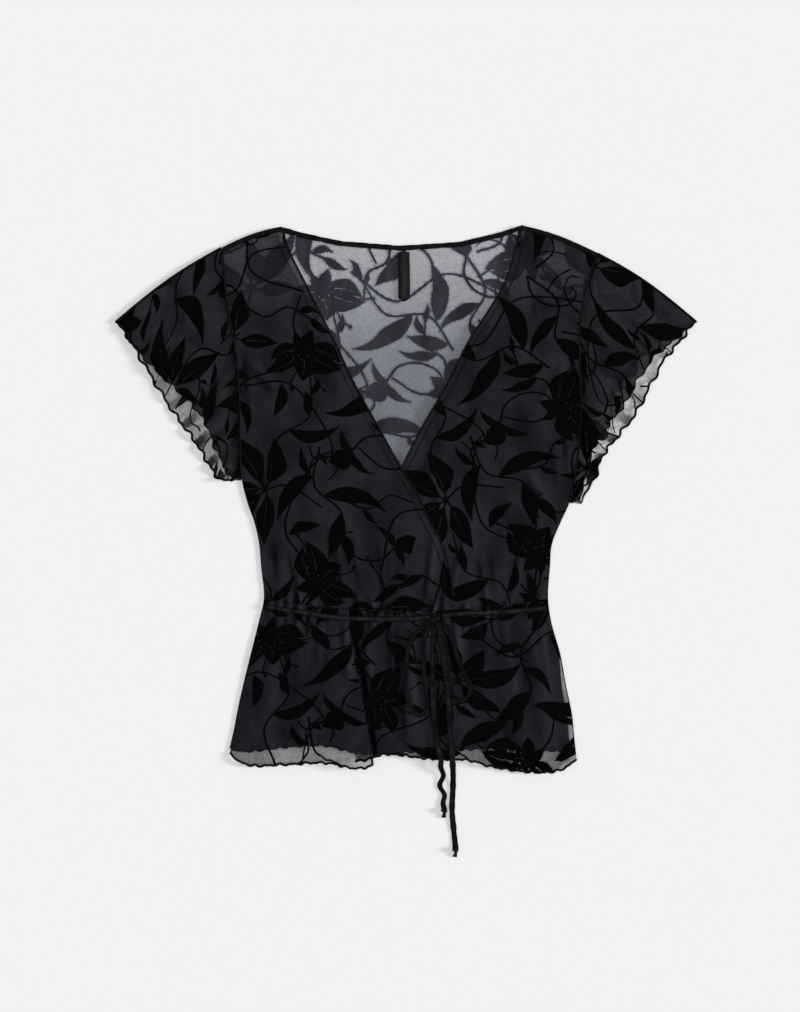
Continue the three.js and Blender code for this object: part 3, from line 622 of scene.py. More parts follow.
@dataclass(frozen=True)
class NetFinish(Finish):
    """Nylon and elastane power net, warp knitted and dyed black: matt yarn with open pores.

    Light passes through the pores, so one layer looks grey over a pale surface. The pores are
    half a millimetre apart, too fine for the picture, so the net is drawn coarser than it is.
    Seen from its wrong side the yarn is lighter, but not where velvet lies below it.
    """

    yarn: str
    over_velvet: str = ""
    over_velvet_from: float = 0.7
    pitch: float = 2.6
    angle: float = 38.0
    depth: float = 0.05
    course_pitch: float = 1.12
    course_turn: float = 84.0
    course_share: float = 0.35
    cloud: float = 0.05
    cloud_size: float = 26.0
    cloud_stretch: tuple[float, float, float] = (1, 0.45, 1)
    cloud_tone: float = 0.3
    cloud_span: Span = (0.36, 0.64)
    mottle: float = 1.1
    mottle_size: float = 3.6
    net_middle: float = 0.4
    roughness: float = 0.62

    def shade(self, tree: Tree, place: Socket) -> dict[str, Any]:
        """Cover and tone come from the piece, the tone with its painted highlight and shade, and lines, pores
        and soft clouds vary them.
        """
        cover = attribute(tree, "cover")
        wales = grating(tree, place, self.pitch, self.angle)
        courses = grating(tree, place, self.pitch * self.course_pitch, self.angle + self.course_turn)
        net = calculate(tree, "MULTIPLY_ADD", courses, self.course_share, wales)
        stretched = add_node(tree, "ShaderNodeVectorMath", {"operation": "MULTIPLY"},
                             {0: place, 1: self.cloud_stretch})
        cloud = noise(tree, stretched.outputs[0], self.cloud_size, 3.0)
        pores = noise(tree, place, self.mottle_size, 1.0)
        open_share = calculate(tree, "MULTIPLY_ADD", cover, -self.mottle, self.mottle)
        level = calculate(tree, "MULTIPLY_ADD", net, self.depth, cover)
        level = calculate(tree, "MULTIPLY_ADD", cloud, self.cloud, level)
        level = calculate(tree, "MULTIPLY_ADD", pores, open_share, level)
        level = calculate(tree, "MULTIPLY_ADD", open_share, -0.5, level)
        middle = self.cloud / 2 + self.depth * self.net_middle
        clouded = ramp(tree, cloud, *self.cloud_span, 1 - self.cloud_tone, 1 + self.cloud_tone)
        close = ramp(tree, cover, self.over_velvet_from, UNDER_VELVET)
        # The yarn's colour is scaled by the piece's tone, which carries painted highlight and painted shade
        colour = add_node(tree, "ShaderNodeVectorMath", {"operation": "SCALE"}, {
            0: two_tone(tree, close, self.yarn, self.over_velvet or self.yarn),
            "Scale": calculate(tree, "MULTIPLY", attribute(tree, "tone"), clouded),
        })
        return {
            "Base Color": colour.outputs[0],
            "Roughness": self.roughness,
            "Specular IOR Level": 0.0,
            "Alpha": calculate(tree, "SUBTRACT", level, middle, is_clamped=True),
        }


@dataclass(frozen=True)
class VelvetFinish(Finish):
    """Viscose velvet pile, left standing where the acid paste wasn't printed: the deepest black.

    The upright fibres swallow light, and only their tips catch a trace of sheen at a slant.
    """

    name: str = "viscose_velvet_pile"
    colour: str = "#040405"
    tuft: float = 1.1

    def shade(self, tree: Tree, place: Socket) -> dict[str, Any]:
        """Even black over fine tufts."""
        return {
            "Base Color": linear(self.colour),
            "Roughness": 0.95,
            "Specular IOR Level": 0.02,
            "Sheen Weight": 0.02,
            "Sheen Roughness": 0.35,
            "Normal": relief(tree, noise(tree, place, self.tuft, 2.0), 0.5, 0.3),
        }


@dataclass(frozen=True)
class TapeFinish(Finish):
    """The same net, folded into a narrow strip or rolled: several layers that let no light through.

    Its edges are darker than its middle: partly the folds of cloth there, partly painted shade on the rounded
    edges, with a painted highlight where the middle's yarn catches the light.
    """

    # The middle colour is the painted highlight on the flat middle, the edge colour the painted shade on the
    # folded edges
    middle: str
    edge: str
    rib: float = 1.6
    rib_angle: float = 30.0
    crumple_size: float = 7.0
    crumple_span: Span = (0.42, 0.6)
    crumple_depth: float = 0.75

    def shade(self, tree: Tree, place: Socket) -> dict[str, Any]:
        """Darker in its crumples, and with painted shade where the piece says that an edge is near."""
        mottle = noise(tree, place, self.crumple_size, 2.0)
        crumple = ramp(tree, mottle, *self.crumple_span, 0.0, self.crumple_depth)
        blend = calculate(tree, "ADD", crumple, attribute(tree, "edge"), is_clamped=True)
        return {
            "Base Color": two_tone(tree, blend, self.middle, self.edge),
            "Roughness": 0.7,
            "Specular IOR Level": 0.06,
            "Normal": relief(tree, grating(tree, place, self.rib, self.rib_angle), 0.25, 0.2),
        }


@dataclass(frozen=True)
class SatinFinish(Finish):
    """Polyester satin, woven with long floats and heat cut: smooth black with a low gloss."""

    name: str = "woven_polyester_satin"
    colour: str = "#08080a"
    float_pitch: float = 1.4

    def shade(self, tree: Tree, place: Socket) -> dict[str, Any]:
        """Even black over fine floats, which run along the label."""
        return {
            "Base Color": linear(self.colour),
            "Roughness": 0.45,
            "Specular IOR Level": 0.1,
            "Normal": relief(tree, grating(tree, place, self.float_pitch, 0), 0.2, 0.1),
        }


@dataclass(frozen=True)
class PaperFinish(Finish):
    """Matt studio paper under the garment: even, pale and without gloss."""

    name: str = "matt_studio_paper"
    colour: str = "#e8e8e8"

    def shade(self, tree: Tree, place: Socket) -> dict[str, Any]:
        """One even colour."""
        return {"Base Color": linear(self.colour), "Roughness": 1.0, "Specular IOR Level": 0.0}


@dataclass
class Finishes:
    """Every finish of the garment, made once."""

    net: Material = field(default_factory=NetFinish(
        "nylon_net_single", "#24252b", mottle=0.65).make)
    wrong_side: Material = field(default_factory=NetFinish(
        "nylon_net_wrong_side", "#4c5063", "#34353b", angle=25.0, pitch=2.4, depth=0.06, mottle=0.35).make)
    lined_net: Material = field(default_factory=NetFinish(
        "nylon_net_close", "#1f2024", angle=46.0, pitch=2.3, depth=0.03, mottle=0.7).make)
    velvet: Material = field(default_factory=VelvetFinish().make)
    tape: Material = field(default_factory=TapeFinish("folded_net_tape", "#1e1e22", "#060607").make)
    edging: Material = field(default_factory=TapeFinish("rolled_net_edge", "#0b0b0d", "#050506").make)
    satin: Material = field(default_factory=SatinFinish().make)


# Velvet motifs

LEAF_STATIONS = 16
LEAF_POINT = 1.1
LEAF_WAVE = 0.1
LEAF_WAVE_RATE = 7.5
LEAF_RIPPLE = 0.06
LEAF_RIPPLE_RATE = 13.0
LEAF_LOP = 0.3
STEM_STEP = 4.0
DOT_SIDES = 8

Route = tuple[Span, ...]


class Motif(Enum):
    """The kinds of plant that the velvet draws."""

    SPRAY = "a bent branch with leaves on both sides"
    WHORL = "broad leaves round the end of a stalk"
    BLOSSOM = "an open flower with its stamens and sepals"
    BUD = "a round bud on a hooked stalk"
    TENDRIL = "a long bare stem with a curled end"


def spin(degrees: float) -> Array:
    """The turn that rows of points are multiplied by, clockwise from +Y."""
    angle = math.radians(degrees)
    return np.array([[math.cos(angle), -math.sin(angle)], [math.sin(angle), math.cos(angle)]])


@dataclass
class Drawing:
    """Outlines of velvet leaves and stems, and outlines of bare net inside them."""

    leaves: list[Array] = field(default_factory=list)
    stems: list[Array] = field(default_factory=list)
    bare: list[Array] = field(default_factory=list)

    def moved(self, turn: float, shift: Spot, mirrored: bool = False) -> "Drawing":
        """A copy of the drawing, mirrored, turned in degrees and then shifted."""
        flip = np.array([-1.0 if mirrored else 1.0, 1.0])
        groups = (self.leaves, self.stems, self.bare)
        return Drawing(*([(part * flip) @ spin(turn) + shift for part in group] for group in groups))

    def extend(self, other: "Drawing") -> None:
        """Add another drawing to this one."""
        self.leaves.extend(other.leaves)
        self.stems.extend(other.stems)
        self.bare.extend(other.bare)


def leaf_rib(length: float, bend: float, hook: float, share: Array) -> Array:
    """Middle line of a leaf, read at shares of its length."""
    return np.column_stack([length * (bend * share**2 + hook * share**4), length * share])


def leaf(length: float, width: float, bend: float = 0.0, heading: float = 0.0,
         base: Spot = (0, 0), fullness: float = 0.85, hook: float = 0.0) -> Array:
    """Outline of one leaf with a fine point at each end.

    Args:
        length: from base to tip.
        width: at its widest.
        bend: how far the leaf leans, as a share of the length.
        heading: direction of growth in degrees, clockwise from +Y.
        base: where it grows from.
        fullness: under 1 puts the widest place nearer the base.
        hook: how far the tip turns further, or back if negative.

    Returns:
        The outline's points.
    """
    share = np.linspace(0, 1, LEAF_STATIONS)
    rib = leaf_rib(length, bend, hook, share)
    slope = np.column_stack([2 * bend * share + 4 * hook * share**3, np.ones_like(share)])
    slope /= norm(slope, axis=1)[:, None]
    half = width / 2 * np.abs(np.sin(math.pi * share**fullness)) ** LEAF_POINT
    half[[0, -1]] = 0
    beside = np.column_stack([-slope[:, 1], slope[:, 0]]) * half[:, None]
    wave = LEAF_WAVE * np.sin(LEAF_WAVE_RATE * share + length) + LEAF_LOP * math.sin(length + heading)
    ripple = LEAF_RIPPLE * np.sin(LEAF_RIPPLE_RATE * share + heading)
    near = rib + beside * (1 + wave + ripple)[:, None]
    far = rib - beside * (1 - wave - ripple)[:, None]
    return np.vstack([near, far[-2:0:-1]]) @ spin(heading) + np.asarray(base, float)


def leaf_discs(outline: Array) -> Array:
    """Discs that fill a leaf from base to tip: x, y and radius, one a row."""
    left = outline[1:LEAF_STATIONS - 1]
    right = outline[:LEAF_STATIONS - 1:-1][:len(left)]
    return np.column_stack([(left + right) / 2, norm(left - right, axis=1) / 2])


def stem(points: Rows, thick: float = 2.1, tip: float = 1.5) -> Array:
    """Outline of a stem along a smooth curve, a little thinner at its tip."""
    line = smooth_path(points, STEM_STEP)
    along = np.gradient(line, axis=0)
    along /= norm(along, axis=1)[:, None]
    half = np.linspace(thick, tip, len(line))[:, None] / 2
    beside = np.column_stack([-along[:, 1], along[:, 0]]) * half
    return np.vstack([line + beside, (line - beside)[::-1]])


def dot(place: Spot, radius: float) -> Array:
    """Outline of a small round spot."""
    return round_section(2 * radius, 2 * radius, DOT_SIDES) + tuple(place)


@dataclass(frozen=True)
class Plants:
    """Draws each kind of plant round its own middle: lengths are shares of the plant's size."""

    spray_stem: Route = ((-0.1, -0.62), (0.1, -0.28), (-0.04, 0.08), (0.16, 0.42))
    spray_leaves: Table = Table(("along", "lean", "length", "width", "bend", "hook"), (
        (0.06, -66, 0.4, 0.34, 0.4, -0.1), (0.26, 58, 0.56, 0.3, -0.32, -0.1),
        (0.46, -48, 0.62, 0.27, 0.28, 0.2), (0.66, 42, 0.48, 0.34, -0.26, 0.2),
        (0.84, -44, 0.34, 0.36, 0.12, 0.2), (1.0, 8, 0.6, 0.28, 0.26, -0.3),
    ))
    whorl_stem: Route = ((-0.1, -0.4), (0.2, -1.0))
    whorl_leaves: Table = Table(("heading", "length", "width", "bend", "hook"), (
        (-104, 0.86, 0.42, 0.26, 0.0), (-48, 1.2, 0.33, -0.16, 0.22), (4, 0.8, 0.44, 0.16, -0.1),
        (50, 1.26, 0.3, 0.1, -0.26), (104, 0.94, 0.36, -0.3, 0.12),
    ))
    whorl_stalk: float = 0.14
    whorl_overlap: float = 0.8
    whorl_length: float = 0.95
    whorl_slit: float = 0.8
    petals: Table = Table(("heading", "length", "width", "bend", "hook"), (
        (-82, 0.96, 0.46, 0.36, 0.1), (-34, 1.12, 0.5, -0.2, -0.12), (10, 0.84, 0.56, 0.1, 0.0),
        (54, 1.1, 0.48, 0.24, 0.14), (106, 0.9, 0.4, -0.34, 0.0),
    ))
    petal_fullness: float = 1.1
    sepal_headings: tuple[float, ...] = (-150, 156, 206)
    sepal: tuple[float, float, float] = (0.56, 0.26, 0.14)
    stamens: Table = Table(("heading", "reach"), ((-58, 1.3), (-14, 1.18), (30, 1.06)))
    stamen_from: float = 0.5
    stamen_bow: Span = (0.08, 0.9)
    stamen_thick: Span = (1.6, 1.3)
    anther: float = 2.0
    speckles: int = 14
    speckle_inner: float = 0.2
    speckle_ring: float = 0.065
    speckle_heading: float = -96.0
    speckle_turn: float = 15.0
    speckle_radius: float = 0.7
    speckle_growth: float = 0.25
    blossom_stem: Route = ((0, 0), (0.12, -0.7), (-0.24, -1.4))
    bud_leaves: Table = Table(("length", "width", "bend", "heading", "fullness", "hook"), (
        (1.0, 0.8, 0.08, 4, 0.95, 0.0), (1.0, 0.32, -0.55, -62, 0.85, -0.2),
        (0.8, 0.28, 0.5, 66, 0.85, 0.1),
    ))
    bud_stem: Route = ((0, 0.05), (0.12, -0.7), (-0.3, -1.35), (-1.0, -1.65), (-1.5, -1.4), (-1.42, -1.05))
    tendril_stem: Route = (
        (-0.08, -0.5), (0.1, -0.24), (-0.05, 0.05), (0.07, 0.34), (0.2, 0.47), (0.27, 0.39), (0.22, 0.33),
    )
    tendril_leaf: tuple[float, ...] = (0.2, 0.07, 0.3, 60.0)
    tendril_leaf_base: Span = (-0.03, 0.02)
    slit_run: tuple[float, float, int] = (0.3, 0.78, 4)
    slit_width: float = 1.1

    def draw(self, kind: Motif, size: float) -> Drawing:
        """Draw one plant."""
        drawers = (self.spray, self.whorl, self.blossom, self.bud, self.tendril)
        return dict(zip(Motif, drawers))[kind](size)

    def spray(self, size: float) -> Drawing:
        """A bent branch with leaves on both sides and one at its end."""
        route = np.array(self.spray_stem) * size
        line = smooth_path(route, 1.0)
        drawing = Drawing(stems=[stem(route)])
        for along, lean, length, width, bend, hook in self.spray_leaves.rows:
            place = min(len(line) - 2, int(along * (len(line) - 1)))
            growth = line[place + 1] - line[place]
            heading = math.degrees(math.atan2(growth[0], growth[1])) + lean
            across = width * length * size
            drawing.leaves.append(leaf(length * size, across, bend, heading, line[place], hook=hook))
        return drawing

    def whorl(self, size: float) -> Drawing:
        """Broad leaves on short stalks of their own, round the end of a stem."""
        drawing = Drawing(stems=[stem([(0, 1), *(np.array(self.whorl_stem) * size)])])
        for heading, length, width, bend, hook in self.whorl_leaves.rows:
            stalk = np.array([(0, 0), (0, self.whorl_stalk * size)]) @ spin(heading)
            base = stalk[1] * self.whorl_overlap
            long = length * size * self.whorl_length
            drawing.stems.append(stem(stalk))
            drawing.leaves.append(leaf(long, width * length * size, bend, heading, base, hook=hook))
            drawing.bare.append(self.slit(length * size * self.whorl_slit, bend, heading, hook))
        return drawing

    def slit(self, length: float, bend: float, heading: float, hook: float) -> Array:
        """A thin gap in the velvet along a leaf's rib."""
        share = np.linspace(*self.slit_run)
        return stem(leaf_rib(length, bend, hook, share) @ spin(heading), self.slit_width, self.slit_width / 2)

    def blossom(self, size: float) -> Drawing:
        """Broad petals, a heart speckled with bare net, short stamens, sepals and a stalk."""
        drawing = Drawing()
        for heading, length, width, bend, hook in self.petals.rows:
            drawing.leaves.append(leaf(length * size, width * size, bend, heading,
                                       fullness=self.petal_fullness, hook=hook))
            drawing.bare.append(self.slit(length * size, bend, heading, hook))
        for heading, reach in self.stamens.rows:
            route = np.array([(0, self.stamen_from), self.stamen_bow, (0.0, reach)])
            line = route * size @ spin(heading)
            drawing.stems.append(stem(line, *self.stamen_thick))
            drawing.stems.append(dot(line[-1], self.anther))
        for number in range(self.speckles):
            out = self.speckle_inner + self.speckle_ring * (number * 2 % 5)
            place = np.array([0, out * size]) @ spin(self.speckle_heading + self.speckle_turn * number)
            drawing.bare.append(dot(place, self.speckle_radius + self.speckle_growth * (number % 3)))
        length, width, bend = self.sepal
        for heading in self.sepal_headings:
            drawing.leaves.append(leaf(length * size, width * size, bend, heading))
        drawing.stems.append(stem(np.array(self.blossom_stem) * size))
        return drawing

    def bud(self, size: float) -> Drawing:
        """A round bud held by curved sepals, on a hooked stalk."""
        return Drawing(stems=[stem(np.array(self.bud_stem) * size)], leaves=[
            leaf(length * size, width * size, bend, heading, fullness=fullness, hook=hook)
            for length, width, bend, heading, fullness, hook in self.bud_leaves.rows
        ])

    def tendril(self, size: float) -> Drawing:
        """A long bare stem with a curled end and one small leaf."""
        length, width, bend, heading = self.tendril_leaf
        base = np.array(self.tendril_leaf_base) * size
        leaves = [leaf(length * size, width * size, bend, heading, base)]
        return Drawing(leaves, [stem(np.array(self.tendril_stem) * size)])


# Where each plant stands in the repeat: x, y, turn, size, and True where it is mirrored
REPEAT: dict[Motif, Sequence[tuple[float, ...]]] = {
    Motif.BLOSSOM: (
        (92, 30, 20, 34), (264, 88, -130, 34, True), (142, 150, 85, 35),
        (22, 222, 150, 34), (196, 274, -60, 35), (266, 338, 125, 34),
    ),
    Motif.WHORL: (
        (152, 24, 160, 48), (26, 96, -100, 50, True), (216, 160, 40, 48),
        (260, 214, -15, 50), (90, 272, -55, 48, True),
    ),
    Motif.BUD: (
        (268, 18, -60, 23), (148, 80, 40, 22), (88, 150, -140, 24),
        (204, 220, 100, 23), (142, 268, -10, 22, True), (20, 330, 60, 23),
        (206, 332, 170, 24, True),
    ),
    Motif.SPRAY: (
        (34, 28, -35, 88), (214, 34, 70, 92, True), (88, 98, 140, 88),
        (200, 102, -20, 94), (38, 162, 15, 90, True), (278, 150, -160, 90),
        (88, 210, -75, 94), (156, 216, 175, 86, True), (34, 278, 110, 90),
        (254, 280, 30, 92), (82, 330, 5, 90, True), (148, 326, -120, 90),
        (128, 118, 60, 54), (182, 62, -100, 52, True), (58, 128, 20, 50),
        (240, 126, 120, 54, True), (122, 184, -40, 52), (180, 190, 150, 50, True),
        (294, 250, 70, 54), (62, 244, -150, 52, True), (172, 300, 30, 54),
        (116, 300, 100, 50, True), (230, 254, -80, 52), (296, 50, 10, 54, True),
        (50, 348, -60, 50), (120, 352, 130, 52, True), (240, 60, 40, 50),
    ),
    Motif.TENDRIL: (
        (62, 62, -20, 150), (178, 130, 35, 160, True), (120, 242, 80, 150),
        (238, 312, -50, 160, True), (8, 184, 100, 150), (232, 6, 140, 140),
    ),
}


@dataclass
class Fabric:
    """The burnt-out velvet as it comes off the roll: one repeat of plants, set side by side.

    The repeat is 300 by 360 mm before it is scaled. Each plant leaves room for those before it
    in the table: a leaf that would cover another plant's leaf grows smaller, and where that
    isn't enough it is left out.
    """

    scale: float = 1.2
    size: Span = (300.0, 360.0)
    room: float = 1.2
    smaller: tuple[float, ...] = (0.95, 0.74, 0.54, 0.38)
    period: Array = field(init=False)
    drawing: Drawing = field(init=False)

    def __post_init__(self) -> None:
        """Draw the repeat once."""
        self.period = np.array(self.size) * self.scale
        self.drawing = Drawing()
        plants = Plants()
        taken = np.empty((0, 3))
        for kind, plant in ((kind, plant) for kind, row in REPEAT.items() for plant in row):
            x, y, turn, size, *mirrored = plant
            spot = (x * self.scale, y * self.scale)
            drawn = plants.draw(kind, size * self.scale).moved(turn, spot, bool(mirrored))
            tried = [self.fit(outline, taken) for outline in drawn.leaves]
            fitted = [outline for outline in tried if outline is not None]
            taken = np.vstack([taken, *(leaf_discs(outline) for outline in fitted)])
            self.drawing.extend(Drawing(fitted, drawn.stems, drawn.bare))

    def fit(self, outline: Array, taken: Array) -> Array | None:
        """Make a leaf as large as its room allows.

        Args:
            outline: the leaf's outline at its full size, from its base.
            taken: discs of the leaves that lie there already.

        Returns:
            The outline, or nothing where there is no room.
        """
        for size in self.smaller:
            shape = outline[0] + (outline - outline[0]) * size
            discs = leaf_discs(shape)
            apart = discs[:, None, :2] - taken[None, :, :2]
            apart -= np.round(apart / self.period) * self.period
            if np.all(norm(apart, axis=2) > discs[:, None, 2] + taken[None, :, 2] + self.room):
                return shape
        return None

    def cut(self, low: Array, high: Array, origin: Spot, turn: float,
            clearings: Rows) -> Drawing:
        """The drawing that falls on one panel.

        Args:
            low: lowest corner of the panel, in its own cut space.
            high: highest corner.
            origin: place of the panel's corner on the roll.
            turn: turn of the panel on the roll, in degrees.
            clearings: discs of bare net, where no leaf has its middle: x, y and radius.

        Returns:
            The drawing in the panel's cut space.
        """
        corners = np.array([low, (high[0], low[1]), high, (low[0], high[1])], float)
        on_roll = (corners - origin) @ spin(turn).T
        first = np.floor(on_roll.min(axis=0) / self.period).astype(int) - 1
        last = np.ceil(on_roll.max(axis=0) / self.period).astype(int) + 1
        found = Drawing()
        for column in range(first[0], last[0]):
            for row in range(first[1], last[1]):
                found.extend(self.drawing.moved(turn, (column, row) * self.period @ spin(turn) + origin))

        def shows(outline: Array) -> bool:
            """Whether an outline reaches the panel."""
            return bool(np.all(outline.max(axis=0) > low) and np.all(outline.min(axis=0) < high))

        def is_clear(outline: Array) -> bool:
            """Whether an outline's middle is out of every clearing."""
            return all(math.dist(outline.mean(axis=0), (x, y)) > radius for x, y, radius in clearings)

        return Drawing(
            [outline for outline in found.leaves if shows(outline) and is_clear(outline)],
            [outline for outline in found.stems if shows(outline)],
            [outline for outline in found.bare if shows(outline)],
        )


FABRIC = Fabric()


# Cloth panels

LATTICE_ROW = 0.866
KEEP_INSIDE = 1
MERGE_WITHIN = 1e-4


def signed_area(outline: Array) -> float:
    """Area inside an outline, negative where it runs clockwise."""
    x, y = outline.T
    return float(np.sum(x * np.roll(y, -1) - y * np.roll(x, -1))) / 2


@dataclass
class CutCloth:
    """A panel's cut in triangles, with every velvet outline along their edges."""

    points: Array
    faces: Array
    piled: Array

    @classmethod
    def cut(cls, outline: Array, drawing: Drawing, step: float, fine: Sequence[Array] = ()) -> "CutCloth":
        """Cut a panel into triangles.

        Args:
            outline: the panel's edge in its cut space.
            drawing: velvet and bare outlines, which may cross the edge.
            step: distance between the cloth's inner points.
            fine: further inner points where the cloth gathers.

        Returns:
            The cut cloth.
        """
        low, high = outline.min(axis=0), outline.max(axis=0)
        lattice = []
        for place, row in enumerate(np.arange(low[1], high[1], step * LATTICE_ROW)):
            x = np.arange(low[0] + (place % 2) * step / 2, high[0], step)
            lattice.append(np.column_stack([x, np.full_like(x, row)]))
        inner = np.vstack([*lattice, *fine])
        inner = inner[inside(inner, outline)]
        pile = [*drawing.leaves, *drawing.stems]
        loops = [outline, *pile, *drawing.bare]
        numbered = []
        start = 0
        for loop in loops:
            ring = range(start, start + len(loop))
            numbered.append(list(ring if signed_area(loop) >= 0 else reversed(ring)))
            start += len(loop)
        places = [Vector(place) for place in np.vstack([*loops, inner]).tolist()]
        done = delaunay_2d_cdt(places, [], numbered, KEEP_INSIDE, MERGE_WITHIN, True)
        verts, _, faces, _, _, sources = done
        kept, piled = [], []
        for face, source in zip(faces, sources):
            if 0 in source and len(face) == 3:
                kept.append(face)
                is_bare = any(number > len(pile) for number in source)
                piled.append(not is_bare and any(number > 0 for number in source))
        used = np.unique(np.array(kept))
        renumbered = np.full(len(verts), -1)
        renumbered[used] = np.arange(len(used))
        points = np.array([verts[number][:] for number in used])
        return cls(points, renumbered[np.array(kept)], np.array(piled))


class Held(Enum):
    """How a sheet of cloth is held."""

    LAID = "laid"
    GATHERED = "gathered"


@dataclass
class Panel:
    """One cut piece of cloth with its velvet: how it is cut, how it lies and how dense it is.

    Cover is how much of the surface below the net hides, from 0 to 1, and tone is how light its
    yarn looks, with its painted highlight and painted shade. A folded panel takes this painted light from its
    folds.
    """

    name: str
    nodes: tuple[str, ...]
    outline: Array
    lay: Rule
    cover: Rule
    net: Material
    velvet: Material
    roll_origin: Span = (0.0, 0.0)
    roll_turn: float = 0.0
    pile: float = 0.45
    rim_share: float = 0.7
    foot: float = 0.05
    # How far the painted shadow beside the deep fold darkens the yarn
    fold_shadow_depth: float = 0.97
    folded: bool = False
    step: float = 3.2
    fine: Sequence[Array] = ()
    clearings: Rows = ()
    tone: Rule = lambda cut: np.ones(len(cut))
    is_wrong_side: bool = False
    cut: CutCloth = field(init=False)
    sheet: Piece = field(init=False)
    leaves: Piece = field(init=False)

    def make(self) -> "Panel":
        """Cut the cloth, lay it and raise its velvet."""
        low, high = self.outline.min(axis=0), self.outline.max(axis=0)
        drawing = FABRIC.cut(low, high, self.roll_origin, self.roll_turn, self.clearings)
        self.cut = CutCloth.cut(self.outline, drawing, self.step, self.fine)
        laid = self.lay(self.cut.points)
        if point_normals(laid, self.cut.faces)[:, 2].mean() < 0:
            self.cut.faces = self.cut.faces[:, ::-1]
        self.sheet = make_mesh(self.name, laid, self.cut.faces, self.net)
        # Painted shadow beside the deep fold's turned edge, where the doubled cloth also hides the surface
        fold_shadow = LAYING.fold_shadow_line(laid[:, 0], laid[:, 1])
        cover = self.cover(self.cut.points)
        if self.is_wrong_side:
            pile = np.unique(self.cut.faces[self.cut.piled])
            cover[pile] = np.maximum(cover[pile], UNDER_VELVET)
        set_shade(self.sheet, "cover", mix(cover, 1.0, fold_shadow if self.folded else 0))
        # The tone carries painted highlight and painted shade, from the folds or from the panel's own rule
        tone = LAYING.tone(laid[:, 0], laid[:, 1]) if self.folded else self.tone(self.cut.points)
        set_shade(self.sheet, "tone", tone * (1 - self.fold_shadow_depth * fold_shadow))
        dress(self.sheet, Slot.MESH, *self.nodes)
        self.leaves = self.raise_velvet(laid)
        return self

    def raise_velvet(self, laid: Array) -> Piece:
        """Raise the pile off the net, or sink it below where the net's wrong side shows."""
        faces = self.cut.faces[self.cut.piled]
        normals = point_normals(laid, self.cut.faces)
        directed = np.vstack([faces[:, [0, 1]], faces[:, [1, 2]], faces[:, [2, 0]]])
        edges = np.sort(directed, axis=1)
        _, first, counts = np.unique(edges, axis=0, return_index=True, return_counts=True)
        rim = directed[first[counts == 1]]
        used = np.unique(faces)
        is_rim = np.isin(used, rim)
        height = np.where(is_rim, self.rim_share, 1.0) * self.pile
        top = laid[used] + normals[used] * height[:, None]
        renumbered = np.full(len(laid), -1)
        renumbered[used] = np.arange(len(used))
        foot_of = np.full(len(laid), -1)
        rim_points = used[is_rim]
        foot_of[rim_points] = len(used) + np.arange(len(rim_points))
        feet = laid[rim_points] + normals[rim_points] * self.foot * np.sign(self.pile)
        skirt = [[foot_of[a], foot_of[b], renumbered[b], renumbered[a]] for a, b in rim]
        skin = [*renumbered[faces].tolist(), *skirt]
        return dress(make_mesh(f"{self.name}_velvet", np.vstack([top, feet]), skin, self.velvet), Slot.MESH)

    def cut_area(self) -> float:
        """Area of the cut in square metres."""
        return abs(signed_area(self.outline)) * MM * MM

    def declare(self, held: Held, rests_on: Sequence[Piece] = (), trims: Sequence[Piece] = ()) -> None:
        """Work out the area that the panel was cut to.

        Args:
            held: how it is held; not used.
            rests_on: the sheets below it; not used.
            trims: the pieces sewn to it; not used.
        """
        self.cut_area()


def border(*sides: Array) -> Array:
    """Join the sides of an outline, each without its last point."""
    return np.vstack([side[:-1] for side in sides])


def between(start: Spot, end: Spot, step: float = 3.0) -> Array:
    """Points along a straight side."""
    start, end = np.array(start, float), np.array(end, float)
    count = max(2, round(float(norm(end - start)) / step))
    return start + (end - start) * np.linspace(0, 1, count + 1)[:, None]


def edge_run(edge: Rule, start: float, end: float, step: float = 3.0) -> Array:
    """Points along an edge that is given as x for each y."""
    y = np.linspace(start, end, max(2, round(abs(end - start) / step)) + 1)
    return np.column_stack([edge(y), y])


def gathered_points(low_x: float, high_x: float, low_y: float, high_y: float, step: float = 1.5) -> Array:
    """Close inner points where the cloth is gathered."""
    x, y = np.meshgrid(np.arange(low_x, high_x, step), np.arange(low_y, high_y, 2 * step))
    return np.column_stack([x.ravel() + (y.ravel() % (4 * step)) / 4, y.ravel()])


def keep_cut(height: Surface, lift: float = 0.0) -> Rule:
    """A way to lay cloth that keeps the shape of its cut, at a height for each place."""
    return lambda cut: np.column_stack([cut, height(cut[:, 0], cut[:, 1]) + lift])


def even_cover(cover: float) -> Rule:
    """The same cover all over a panel."""
    return lambda cut: np.full(len(cut), cover)


BACK_COVER = Table(("y", "cover"), (
    (-20, 0.7), (40, 0.69), (90, 0.66), (150, 0.62), (210, 0.5), (255, 0.42),
))
CLEARING = ("x", "y", "radius")
BACK_CLEARINGS = Table(CLEARING, ((76, 246, 26), (22, 250, 18), (-30, 214, 14), (-38, 258, 18)))
LEFT_SHOULDER_CLEARING = Table(CLEARING, ((152, 232, 46),))
RIGHT_SHOULDER_CLEARING = Table(CLEARING, ((-146, 236, 46),))


